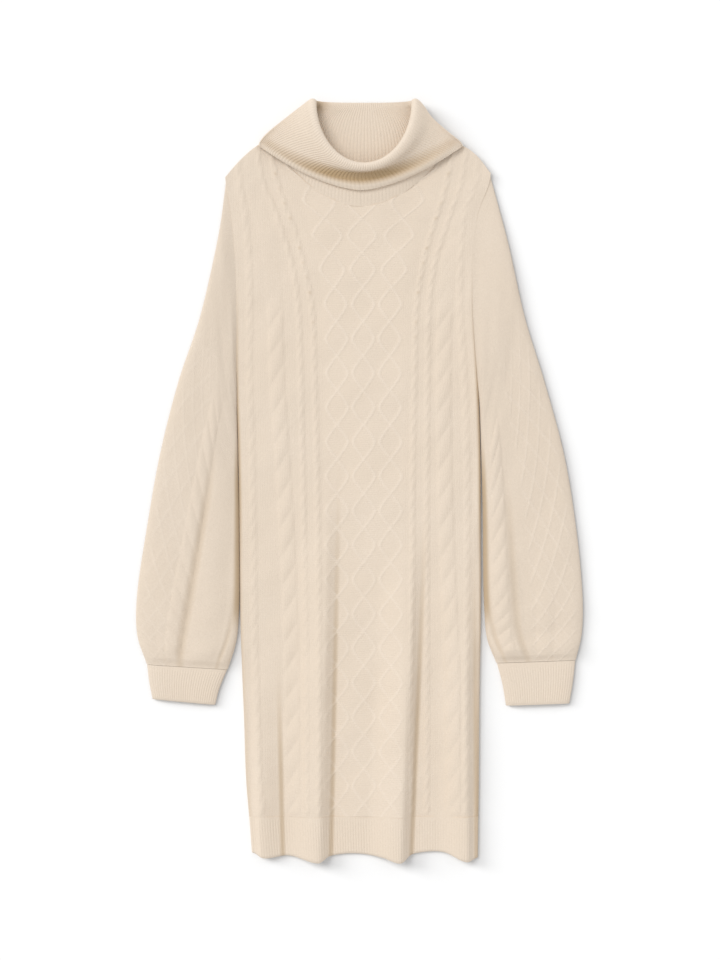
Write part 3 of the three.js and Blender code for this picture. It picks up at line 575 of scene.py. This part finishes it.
def turn_outwards(mesh):
    """Flips all faces if the closed body is inside out."""
    mesh.calc_loop_triangles()
    points = np.empty(len(mesh.vertices) * 3)
    mesh.vertices.foreach_get("co", points)
    points = points.reshape(-1, 3)
    corners = np.empty(len(mesh.loop_triangles) * 3, dtype=np.int32)
    mesh.loop_triangles.foreach_get("vertices", corners)
    a, b, c = (points[corners.reshape(-1, 3)[:, k]] for k in range(3))
    if np.einsum("ij,ij->i", a, np.cross(b, c)).sum() < 0:
        mesh.flip_normals()


def stack(x, y, z):
    return np.stack(np.broadcast_arrays(x, y, z), axis=-1).astype(float)


def flat_shell(name, x, y, upper_z, under_z, step, painted_light=0, ground=0):
    """A wall over the places x, y, whose cloth lies as it was knitted."""
    cloth = stack(x, y, 0)[..., :2]
    return shell(name, stack(x, y, upper_z), stack(x, y, under_z), cloth, False, step, painted_light, ground)


# Panels.

def panel_top(x, neck):
    """Upper outline of a panel: the neck between two short shoulders."""
    middle_y, side_y, point, fullness = neck
    middle = (COLLAR[0, 0] + COLLAR[0, 1]) / 2
    half = (COLLAR[0, 1] - COLLAR[0, 0]) / 2
    s = np.abs(x - middle) / half
    neck_line = mix(side_y, middle_y, (1 - np.minimum(s, 1) ** point) ** fullness)
    left = x < middle
    reach = np.abs(np.where(left, BODY[1, 1], BODY[1, 2]) - middle) - half
    neck_y, tip_y, bow = (np.where(left, *pair) for pair in zip(SHOULDERS["left"], SHOULDERS["right"]))
    shoulder = mix(neck_y, tip_y, np.clip((s - 1) * half / reach, 0, 1) ** bow)
    return np.where(s < 1, neck_line, shoulder)


def panel_grid(columns, neck, top_rows):
    """Places of a panel's grid points: level rows up to the chest, then rows that spread to the neck."""
    u = np.linspace(0, 1, columns)[None, :]
    cells = int((PATTERN_TOP_Y - HEM_SEAM_Y) / CELL)
    level = np.linspace(HEM_SEAM_Y, PATTERN_TOP_Y, cells + 1)[:, None]
    y_low = np.broadcast_to(level, (len(level), columns))
    share = (np.arange(1, top_rows + 1) / top_rows)[:, None]
    y_high = np.full((top_rows, columns), float(PATTERN_TOP_Y))
    for _ in range(SETTLE_ROUNDS):
        x = mix(left_edge(y_high), right_edge(y_high), u)
        y_high = mix(y_high, mix(PATTERN_TOP_Y, panel_top(x, neck), share), SETTLE_SHARE)
    y = np.concatenate([y_low, y_high])
    return mix(left_edge(y), right_edge(y), u), y


def fold_painted_shade(x, y):
    """Painted shade in the creases beside the folds' steep sides, which are painted a little deeper in
    colour.
    """
    depth = np.zeros_like(x)
    for crest, strength, _, _, width in folds_at(y):
        foot = crest + FOLD_CREASE_SHADE["place"] * width
        depth = np.maximum(depth, strength * ridge(x - foot, FOLD_CREASE_SHADE["half_width"]))
    return -depth


def painted_hollow_shade(x, y):
    """Painted shade in the small hollows where the strands of the two inner small cables cross."""
    along = (y - PATTERN_TOP_Y) / SMALL_CABLE["repeat"]
    row = np.round(along)
    off_row = (along - row) * SMALL_CABLE["repeat"]
    uneven = 0.6 + 0.4 * np.sin(2.4 * row + 0.7)
    hollow_shade = np.zeros_like(x)
    for name in ("small_left", "small_right"):
        distance = np.hypot(x - wales[name](y), off_row)
        hollow_shade = np.maximum(hollow_shade, np.clip(CABLE_HOLLOW_SHADE["full"] - distance / CABLE_HOLLOW_SHADE["size"], 0, 1))
    grown = smooth_step((y - CABLE_HOLLOW_SHADE["low_y"]) / CABLE_HOLLOW_SHADE["grows_over"])
    return hollow_shade * uneven * mix(CABLE_HOLLOW_SHADE["low_share"], 1, grown)


def fold_flank(x, y):
    """1 on the steep, shaded side of a fold, where the strands' painted highlight is faded, 0 elsewhere."""
    share = np.zeros_like(x)
    for crest, strength, _, _, width in folds_at(y):
        middle = crest + FOLD_FLANK["place"] * width
        share = np.maximum(share, strength * ridge(x - middle, FOLD_FLANK["half_width"] * width))
    return share


def make_front():
    x, y = panel_grid(176, FRONT_NECK, 44)
    under_z = front_lift(x, y)
    nearest = from_side(x, y)
    soft = wave_field(x, y, SOFT_WAVES) * smooth_step(nearest / SOFT_EDGE)
    upper_z = under_z + (WALL + front_relief(x, y)) * edge_round(x, y) + np.maximum(soft, SOFT_LEAST)
    # Painted light on the front: a painted highlight on the lattice's strands, faded on the shaded flanks of
    # folds, and painted shade in the fold creases and the cable hollows.
    painted_light = lattice_strands(x, y) * (1 - FRONT_PAINTED_LIGHT["flank_fade"] * fold_flank(x, y))
    painted_light = painted_light + FRONT_PAINTED_LIGHT["fold"] * fold_painted_shade(x, y) - FRONT_PAINTED_LIGHT["dot"] * painted_hollow_shade(x, y)
    # Painted shade along the body's sides, where a sleeve lies against them.
    edge = smooth_step(EDGE_PAINTED_SHADE["reach"] - nearest / EDGE_PAINTED_SHADE["width"])
    edge = edge * smooth_step((EDGE_PAINTED_SHADE["top_y"] - y) / EDGE_PAINTED_SHADE["grows_over"])
    painted_light = painted_light - FRONT_PAINTED_LIGHT["edge"] * edge * shade_beside_sleeve(y)
    return flat_shell("front_knit", x, y, upper_z, under_z, 4, painted_light, lattice_ground(x, y))


def make_back():
    x, y = panel_grid(60, BACK_NECK, 20)
    return flat_shell("back_knit", x, y, WALL, 0, 4)


def rib_profile(across, ribs):
    """Rounded ribs: across runs 0 to 1 over all of them."""
    return np.abs(np.sin(math.pi * across * ribs)) ** RIB_ROUNDNESS


def raised_ribs(across, v, ribs):
    """Height of a hem's or cuff's ribs over its wall; they begin just below the seam."""
    return (RIB_RELIEF * rib_profile(across, ribs) - RIB_SINK) * smooth_step(v * RIB_GROWTH)


def hem_grid(columns, rows):
    """Points of a hem rib, with their shares across and down it."""
    u = np.linspace(0, 1, columns)[None, :]
    v = np.linspace(0, 1, rows)[:, None]
    seam_x = mix(left_edge(HEM_SEAM_Y), right_edge(HEM_SEAM_Y), u)
    y = mix(HEM_SEAM_Y, hem_edge(seam_x), v)
    return mix(left_edge(y), right_edge(y), u), y, u, v


def make_hem_front():
    ribs = round((right_edge(HEM_SEAM_Y) - left_edge(HEM_SEAM_Y)) / RIB_PITCH)
    x, y, u, v = hem_grid(ribs * COLUMNS_PER_RIB + 1, 28)
    under_z = front_lift(x, y)
    wall = (WALL + raised_ribs(u, v, ribs)) * edge_round(x, y) * rounded_end(v, HEM_TURN, HEM_LEAST)
    # Painted shade in the creases beside the folds.
    painted_light = FRONT_PAINTED_LIGHT["fold"] * fold_painted_shade(x, y)
    return flat_shell("hem_rib_front_knit", x, y, under_z + wall, under_z, COLUMNS_PER_RIB, painted_light)


def make_hem_back():
    x, y, _, _ = hem_grid(121, 12)
    return flat_shell("hem_rib_back_knit", x, y, WALL, 0, 4)


# Sleeves and cuffs.

def tube_grid(rows, armhole, top_columns, under_columns, along_rows, fold, raised):
    """Outer and inner points of a flattened tube, with the place of each point on its cloth."""
    top = 0.5 * np.arange(top_columns) / top_columns
    under = 0.5 + 0.5 * np.arange(under_columns) / under_columns
    turn = np.concatenate([top, under])[None, :]
    v = np.linspace(0, 1, along_rows)[:, None]
    outer_x, outer_y, inner_x, inner_y, crown = (curve(v) for curve in row_curves(rows))
    on_top = turn <= 0.5
    across = np.where(on_top, turn * 2, 2 - turn * 2)
    x = mix(outer_x, inner_x, across)
    y = mix(outer_y, inner_y, across)
    centre_x = mix(outer_x, inner_x, 0.5)
    centre_y = mix(outer_y, inner_y, 0.5)
    if armhole:
        rest = smooth_step((across - CONTACT["start_across"]) * CONTACT["rate"])
        rest = rest * window(v, *CONTACT["window"])
        x = x - math.copysign(CONTACT["distance"], rows[0, 0]) * rest
        edge = left_edge if armhole == "left" else right_edge
        ease = 1 - smooth_step(v * ARMHOLE_EASE)

        def seam_shift(share):
            seam_y = mix(rows[0, 1], rows[0, 3], share)
            chord = mix(rows[0, 0], rows[0, 2], share)
            return (edge(seam_y) + ARMHOLE_CLEARANCE[armhole] - chord) * ease

        x = x + seam_shift(across)
        centre_x = centre_x + seam_shift(np.full_like(v, 0.5))
        crown = mix(ARMHOLE_Z, crown, smooth_step(v * ARMHOLE_GROWTH))
        puff = smooth_step((v - PUFF["start"]) / PUFF["grows_over"]) * rounded_end(v, PUFF["turns"])
        drop = smooth_step((v - PUFF["drops"]) / (1 - PUFF["drops"]))
        crown = mix(crown + PUFF["height"] * puff, PUFF["end_z"], drop)
    half = np.hypot(outer_x - inner_x, outer_y - inner_y) / 2
    body = np.sqrt(np.clip(1 - np.abs(2 * across - 1) ** SIDE_FOLD_SHARPNESS, 0, 1))
    settle = 1 - smooth_step((v - SETTLE_START) / (1 - SETTLE_START)) if armhole else 1
    lifted = crown + fold(across, v) * settle
    inner_shrink = 1 - WALL / half
    top_outer = mix(SIDE_FOLD_Z, lifted, body) + raised(across, v) * (turn > 0) * (turn < 0.5)
    top_inner = mix(SIDE_FOLD_Z, np.minimum(lifted - WALL, 2 * WALL), body)
    low_outer = mix(SIDE_FOLD_Z - SEAM_GAP, 0, smooth_step(body * UNDER_SHARPNESS))
    low_inner = mix(SIDE_FOLD_Z, WALL, smooth_step(body * UNDER_SHARPNESS))
    outer = stack(x, y, np.where(on_top, top_outer, low_outer))
    inner = stack(
        centre_x + (x - centre_x) * inner_shrink,
        centre_y + (y - centre_y) * inner_shrink,
        np.where(on_top, top_inner, low_inner),
    )
    reach = np.cumsum(np.hypot(np.diff(centre_x[:, 0], prepend=centre_x[0, 0]),
                               np.diff(centre_y[:, 0], prepend=centre_y[0, 0])))[:, None]
    cloth = stack(turn * 4 * half.max(), reach + HALF_STITCH + 0 * turn, 0)[..., :2]
    return outer, inner, cloth, turn, v


def place_curve(points):
    return Curve([point[0] for point in points], [point[1] for point in points])


def sleeve_shapes(ridges, troughs, rope_points, phase, diamonds):
    rope_place = place_curve(rope_points)
    trough_places = [place_curve(points) for points, _, _, _ in troughs]

    def trough_depths(across, v):
        depths = []
        for place, (_, start, width, depth) in zip(trough_places, troughs):
            strength = smooth_step((v - start) * CREASE_GROWTH)
            depths.append(depth * strength * ridge(across - place(v), width) ** TROUGH_SHARPNESS)
        return depths

    def fold(across, v):
        height = np.zeros(np.broadcast_shapes(across.shape, v.shape))
        for at_top, at_cuff, start, width, rise in ridges:
            centre = mix(at_top, at_cuff, v)
            height = height + rise * smooth_step((v - start) * CREASE_GROWTH) * ridge(across - centre, width)
        for depth in trough_depths(across, v):
            height = height - depth
        swell = wave_field(across * SLEEVE_WAVES["width"], v * SLEEVE_WAVES["length"] + phase, SOFT_WAVES)
        return height + swell * smooth_step(v * SLEEVE_WAVES["growth"])

    def strands(across, v):
        span = SLEEVE_LATTICE["end"] - SLEEVE_LATTICE["start"]
        column = (across - SLEEVE_LATTICE["start"]) / span * SLEEVE_LATTICE["columns"]
        along = v * SLEEVE_LATTICE["repeats"]
        rising = column + along
        falling = column - along
        crossing = np.maximum(
            ridge(rising - np.round(rising), SLEEVE_LATTICE["half_width"]),
            ridge(falling - np.round(falling), SLEEVE_LATTICE["half_width"]),
        )
        rate = SLEEVE_LATTICE["side_rate"]
        inside = window(column, 0, rate, SLEEVE_LATTICE["columns"], rate)
        inside = inside * smooth_step((v - SLEEVE_LATTICE["top"]) * SLEEVE_LATTICE["top_rate"])
        beside_rope = rope_place(v) - SLEEVE_LATTICE["rope_margin"] - across
        return crossing * inside * smooth_step(beside_rope * SLEEVE_LATTICE["rope_rate"])

    def raised(across, v):
        rope_across = (across - rope_place(v)) / SLEEVE_ROPE["half_width"]
        rope_height = rope(rope_across, v * SLEEVE_ROPE["repeats"], SLEEVE_ROPE["slant"])
        rope_height = SLEEVE_ROPE["relief"] * window(v, *SLEEVE_ROPE["window"]) * rope_height
        return np.maximum(rope_height, SLEEVE_LATTICE["relief"] * diamonds * strands(across, v))

    # Painted light on a sleeve: a painted highlight on the diamonds' strands, and painted shade in the
    # troughs and along the inner edge against the body.
    def painted_light(across, v):
        crease = sum(depth / SLEEVE_PAINTED_SHADE["crease_depth"] for depth in trough_depths(across, v))
        shaded_inner_edge = smooth_step((across - INNER_EDGE_SHADE["start"]) * INNER_EDGE_SHADE["rate"])
        shaded_inner_edge = shaded_inner_edge * window(v, *INNER_EDGE_SHADE["window"])
        deep = SLEEVE_PAINTED_SHADE["crease"] * crease + SLEEVE_PAINTED_SHADE["shaded_inner_edge"] * shaded_inner_edge
        return diamonds * strands(across, v) - deep

    return fold, raised, painted_light


def make_sleeve(name, rows, ridges, troughs, rope_points, armhole, phase, diamonds):
    """diamonds is how clearly the small diamonds show, 0 to 1."""
    fold, raised, painted_light = sleeve_shapes(ridges, troughs, rope_points, phase, diamonds)
    outer, inner, cloth, turn, v = tube_grid(rows, armhole, **SLEEVE_MESH, fold=fold, raised=raised)
    on_top = turn <= 0.5
    painted_light_values = np.where(on_top, painted_light(np.where(on_top, turn * 2, 2 - turn * 2), v), 0)
    return shell(name, outer, inner, cloth, True, 4, painted_light_values)


def make_cuff(name, rows):
    ribs = round(abs(rows[0, 0] - rows[0, 2]) / RIB_PITCH)

    def fold(across, v):
        return 0 * across * v

    def raised(across, v):
        end = rounded_end(v, CUFF_END["start"])
        drawn_in = CUFF_TOP["sink"] * (1 - smooth_step(v * CUFF_TOP["rate"]))
        return raised_ribs(across, v, ribs) * end - CUFF_END["drop"] * (1 - end) - drawn_in

    outer, inner, cloth, _, _ = tube_grid(
        rows, "", top_columns=ribs * COLUMNS_PER_RIB, **CUFF_MESH, fold=fold, raised=raised)
    return shell(name, outer, inner, cloth, True, COLUMNS_PER_RIB)


# Collar.

def collar_place(turn, along):
    """A point on the middle of the collar's wall: turn 0 is the front, 0.25 the right side."""
    left, right, side_y, front_y, back_y, front_z, side_z, back_z, point, round_ = (
        curve(along) for curve in row_curves(COLLAR))
    angle = turn * 2 * math.pi
    s = np.sin(angle)
    front = np.cos(angle) >= 0
    inside = np.clip(1 - np.abs(s) ** np.where(front, point, BACK_POINT), 0, 1)
    share = inside ** np.where(front, round_, BACK_ROUND)
    end_y = np.where(front, front_y, back_y)
    end_z = np.where(front, front_z, back_z)
    x = (left + right) / 2 + (right - left) / 2 * s
    return stack(x, mix(side_y, end_y, share), mix(side_z, end_z, 1 - (1 - share) ** LAYER_LIFT))


def collar_normal(turn, along):
    across = collar_place(turn + STEP_TURN, along) - collar_place(turn - STEP_TURN, along)
    over = (collar_place(turn, np.minimum(along + STEP_ALONG, 1))
            - collar_place(turn, np.maximum(along - STEP_ALONG, 0)))
    normal = np.cross(across, over)
    return normal / np.linalg.norm(normal, axis=-1, keepdims=True)


def collar_shell(name, start, end, rows, outside, step):
    """A stretch of the rib tube. outside is -1 for the collar and 1 for the neckband: the side that shows.

    The ribs fade where the tube folds sharply at its sides, so that the wall stays even there.
    """
    columns = COLLAR_RIBS * COLUMNS_PER_RIB
    turn = (np.arange(columns) / columns)[None, :]
    along = np.linspace(start, end, rows)[:, None]
    middle = collar_place(turn, along)
    normal = collar_normal(turn, along)
    front = np.cos(turn * 2 * math.pi)
    if outside < 0:
        shows = np.where(along >= 0.5, smooth_step(front * 8 + 0.8), smooth_step(3 - front * 6))
        inner_shows = 0 * front
    else:
        shows = smooth_step(front * 5) + 0 * along
        inner_shows = smooth_step(-front * 5) + 0 * along
    ahead = np.clip(front, 0, 1) ** 2
    place, half_width = (mix(side, flap, ahead) for side, flap in zip(SIDE_CREASE, FLAP_CREASE))
    crease = ridge(along - place, half_width) * smooth_step(front * 3)
    lower = (outside > 0) & (front > 0)
    relief = COLLAR_RIB_RELIEF * np.where(lower, NECKBAND_RIB_SHARE, 1 + CREASE_RIB_GAIN * crease)
    rib = (relief * rib_profile(turn, COLLAR_RIBS) - COLLAR_RIB_SINK) * smooth_step(along * COLLAR_RIB_GROWTH)
    upper = middle + normal * (outside * (WALL / 2 + rib * shows))[..., None]
    under = middle - normal * (outside * (WALL / 2 + rib * inner_shows))[..., None]
    # Painted light on the collar: painted shade in the crease, weaker round the sides, and in the shaded
    # corner inside the neck, and a painted highlight on the rolled rim.
    crease = crease * mix(SIDE_CREASE_SHADE_SHARE, 1, ahead ** 2)
    corner = window(turn, *CORNER["window"]) * smooth_step((CORNER["end"] - along) * CORNER["rate"])
    rim = ridge(along - RIM_HIGHLIGHT_BAND[0], RIM_HIGHLIGHT_BAND[1]) * smooth_step(front * 6 + 1)
    painted_light = COLLAR_PAINTED_LIGHT["rim"] * rim - COLLAR_PAINTED_LIGHT["crease"] * crease
    painted_light = painted_light - COLLAR_PAINTED_LIGHT["corner"] * corner * (outside < 0)
    cloth = stack(turn * COLLAR_RIBS * RIB_PITCH, along * COLLAR_HEIGHT, 0)[..., :2]
    return shell(name, upper, under, cloth, True, step, painted_light)


def make_collar():
    return collar_shell("collar_knit", NECKBAND_SHARE, 1, 80, -1, 6)


def make_neckband():
    return collar_shell("neckband_knit", 0, NECKBAND_SHARE, 17, 1, 1)


# Materials.

def knit_material(name, colour, deep, stitch, bump_height):
    """Matt woollen knit: small slanted stitches, a purl ground in the lattice, fuzz, uneven colour, a painted
    highlight on strands and painted shade in creases, hollows and corners.
    """
    stitch_width, stitch_height = stitch
    material = bpy.data.materials.new(name)
    material.use_nodes = True
    nodes = material.node_tree.nodes
    links = material.node_tree.links
    nodes.clear()

    def node(kind, **settings):
        made = nodes.new(kind)
        for key, value in settings.items():
            setattr(made, key, value)
        return made

    def number(operation, *values, clamp=False):
        made = node("ShaderNodeMath", operation=operation, use_clamp=clamp)
        for socket, value in zip(made.inputs, values):
            if isinstance(value, (int, float)):
                socket.default_value = value
            else:
                links.new(value, socket)
        return made.outputs[0]

    def blend(share, first, second):
        made = node("ShaderNodeMix", data_type="RGBA")
        for socket, value in ((made.inputs[0], share), (made.inputs[6], first), (made.inputs[7], second)):
            if isinstance(value, tuple):
                socket.default_value = (*value, 1)
            else:
                links.new(value, socket)
        return made.outputs[2]

    def noise(scale, detail, rough=0.5):
        made = node("ShaderNodeTexNoise")
        made.inputs["Scale"].default_value = scale
        made.inputs["Detail"].default_value = detail
        made.inputs["Roughness"].default_value = rough
        links.new(spot.outputs["Object"], made.inputs["Vector"])
        return made.outputs["Fac"]

    uv = node("ShaderNodeUVMap", uv_map="cloth")
    spot = node("ShaderNodeTexCoord")
    painted_light = node("ShaderNodeAttribute", attribute_name="painted_light").outputs["Fac"]
    ground = node("ShaderNodeAttribute", attribute_name="ground").outputs["Fac"]
    parts = node("ShaderNodeSeparateXYZ")
    links.new(uv.outputs[0], parts.inputs[0])

    wander = number("MULTIPLY", number("SUBTRACT", noise(90, 1), 0.5), 1.4)
    columns = number("ADD", number("DIVIDE", parts.outputs[0], stitch_width), wander)
    rows = number("ADD", number("DIVIDE", parts.outputs[1], stitch_height), wander)
    away = number("ABSOLUTE", number("SUBTRACT", number("FRACT", columns), 0.5))
    slanted = number("MULTIPLY", number("ADD", rows, number("MULTIPLY", away, 1.1)), math.pi)
    strands = number("ABSOLUTE", number("SINE", slanted))
    groove = number("SUBTRACT", 1.0, number("POWER", number("MULTIPLY", away, 2.0), 3.0))
    knit_side = number("MULTIPLY", strands, groove)
    brick = number("MULTIPLY", number("FLOOR", rows), 0.5)
    loop = number("ABSOLUTE", number("SINE", number("MULTIPLY", number("ADD", columns, brick), math.pi)))
    purl_side = number("MULTIPLY", number("ABSOLUTE", number("SINE", number("MULTIPLY", rows, math.pi))),
                       number("ADD", number("MULTIPLY", loop, 0.45), 0.55))
    stitches = number("ADD", number("MULTIPLY", knit_side, number("SUBTRACT", 1.0, ground)),
                      number("MULTIPLY", purl_side, ground))

    fuzz = noise(900, 4, 0.7)
    clumps = noise(330, 3, 0.6)
    height = number("ADD", number("MULTIPLY", stitches, 0.6),
                    number("ADD", number("MULTIPLY", fuzz, 0.7), number("MULTIPLY", clumps, 0.9)))
    bump = node("ShaderNodeBump")
    bump.inputs["Strength"].default_value = 0.65
    bump.inputs["Distance"].default_value = bump_height * MM
    links.new(height, bump.inputs["Height"])

    patches = number("MULTIPLY", number("SUBTRACT", noise(9, 3), 0.42), 2.6, clamp=True)
    flecks = number("MULTIPLY", number("SUBTRACT", noise(420, 2), 0.40), 3.0, clamp=True)
    ground_colour = blend(patches, deep, colour)
    # Painted highlight: strands are painted paler where the painted light is above 0.
    highlight_colour = tuple(min(1.0, channel * 1.05) for channel in colour)
    dim = tuple(channel * 0.96 for channel in deep)
    mottled = blend(number("MULTIPLY", number("SUBTRACT", 1.0, flecks), 0.75), ground_colour, dim)
    highlight_share = number("MULTIPLY", painted_light, 0.8, clamp=True)
    with_painted_highlight = blend(highlight_share, mottled, highlight_colour)
    # Painted shade: creases, hollows and corners are blended towards a deep tan where the painted light is
    # below 0.
    shade_share = number("MULTIPLY", painted_light, -0.75, clamp=True)
    with_painted_shade = blend(shade_share, with_painted_highlight, PAINTED_SHADE_COLOUR)

    shader = node("ShaderNodeBsdfPrincipled")
    shader.inputs["Roughness"].default_value = 0.95
    shader.inputs["Specular IOR Level"].default_value = 0.1
    shader.inputs["Sheen Weight"].default_value = 0.2
    shader.inputs["Sheen Roughness"].default_value = 0.6
    shader.inputs["Sheen Tint"].default_value = (1.0, 0.94, 0.86, 1)
    links.new(with_painted_shade, shader.inputs["Base Color"])
    links.new(bump.outputs[0], shader.inputs["Normal"])
    output = node("ShaderNodeOutputMaterial")
    links.new(shader.outputs[0], output.inputs[0])
    return material


# Deep tan of the painted shade in creases, hollows and corners.
PAINTED_SHADE_COLOUR = (0.47, 0.34, 0.2)
CLOTH_COLOUR = (0.782, 0.676, 0.566)
CLOTH_DEEP = (0.768, 0.654, 0.534)
panel_knit = knit_material("panel_knit", CLOTH_COLOUR, CLOTH_DEEP, (3.4, 3.0), 0.55)
rib_knit = knit_material("rib_knit", CLOTH_COLOUR, CLOTH_DEEP, (RIB_PITCH, 3.0), 0.45)


# The pieces: their flat cut in metres, what they lie on, and the node and finish they stand for.

def dress_piece(piece, node, material):
    piece.data.materials.append(material)
    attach(piece, "root")
    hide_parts(node)


dress_piece(make_back(), "back", panel_knit)
dress_piece(make_front(), "front", panel_knit)
dress_piece(make_hem_back(), "hem_rib_back", rib_knit)
dress_piece(
    make_hem_front(), "hem_rib_front", rib_knit)
dress_piece(
    make_sleeve(
        "sleeve_left_knit", SLEEVE_LEFT, RIDGES_LEFT, TROUGHS_LEFT, SLEEVE_ROPE_LEFT, "left", 0, 0.5),
    "sleeve_left", panel_knit)
dress_piece(
    make_sleeve(
        "sleeve_right_knit", SLEEVE_RIGHT, RIDGES_RIGHT, TROUGHS_RIGHT, SLEEVE_ROPE_RIGHT, "right", 37, 0.8),
    "sleeve_right", panel_knit)
dress_piece(
    make_cuff("cuff_left_knit", CUFF_LEFT),
    "cuff_left", rib_knit)
dress_piece(
    make_cuff("cuff_right_knit", CUFF_RIGHT),
    "cuff_right", rib_knit)
dress_piece(make_neckband(), "neckband", rib_knit)
dress_piece(make_collar(), "collar", rib_knit)


# Floor, light and camera.

# Floor, in metres: half its width, and its height, a hair below the dress; then how white it is.
FLOOR_HALF = 30.0
FLOOR_Z = -0.0003
FLOOR_WHITE = 0.728
WORLD_STRENGTH = 0.76


def make_floor():
    mesh = bpy.data.meshes.new("floor")
    corners = [(x * FLOOR_HALF, y * FLOOR_HALF, FLOOR_Z) for x, y in ((-1, -1), (1, -1), (1, 1), (-1, 1))]
    mesh.from_pydata(corners, [], [(0, 1, 2, 3)])
    floor = bpy.data.objects.new("floor", mesh)
    bpy.context.scene.collection.objects.link(floor)
    material = bpy.data.materials.new("floor_white")
    material.use_nodes = True
    shader = material.node_tree.nodes["Principled BSDF"]
    shader.inputs["Base Color"].default_value = (FLOOR_WHITE, FLOOR_WHITE, FLOOR_WHITE, 1)
    shader.inputs["Roughness"].default_value = 0.9
    mesh.materials.append(material)
    return floor


def make_light(name, place, spread, strength):
    """A far, soft light that shines from the given place towards the dress; spread is in degrees."""
    lamp = bpy.data.lights.new(name, "SUN")
    lamp.energy = strength
    lamp.angle = math.radians(spread)
    light = bpy.data.objects.new(name, lamp)
    light.location = place
    aim = -np.array(place, float)
    bpy.context.scene.collection.objects.link(light)
    flat = math.hypot(aim[0], aim[1])
    light.rotation_euler = (math.atan2(flat, -aim[2]), 0, math.atan2(aim[1], aim[0]) - math.pi / 2)
    return light


make_light("window", (-1.6, 1.3, 2.4), 30, 1.36)

# A second, lower light reaches the floor alone, and gives the dress its wide, soft shadow.
low_light = make_light("low_window", (-2.2, 1.0, 1.05), 25, 2.4)
floor_only = bpy.data.collections.new("floor_only")
floor_only.objects.link(make_floor())
low_light.light_linking.receiver_collection = floor_only

world = bpy.data.worlds.new("studio")
world.use_nodes = True
world.node_tree.nodes["Background"].inputs[0].default_value = (1, 1, 1, 1)
world.node_tree.nodes["Background"].inputs[1].default_value = WORLD_STRENGTH
bpy.context.scene.world = world
bpy.context.scene.view_settings.view_transform = "Standard"

# The photograph looks straight down. One of its pixels is 1.38 mm on the cloth.
PIXEL = 1.38
PHOTO_WIDTH = 720
CAMERA_HEIGHT = 3.2
CLOTH_HEIGHT = 0.008
SENSOR = 36.0
VIEW_CENTRE = (0.7 * MM, (-0.3 + FRAME_SHIFT_Y) * MM)

camera_data = bpy.data.cameras.new("camera")
camera_data.sensor_fit = "HORIZONTAL"
camera_data.sensor_width = SENSOR
camera_data.lens = SENSOR * (CAMERA_HEIGHT - CLOTH_HEIGHT) / (PHOTO_WIDTH * PIXEL * MM)
camera = bpy.data.objects.new("camera", camera_data)
camera.location = (*VIEW_CENTRE, CAMERA_HEIGHT)
bpy.context.scene.collection.objects.link(camera)
bpy.context.scene.camera = camera
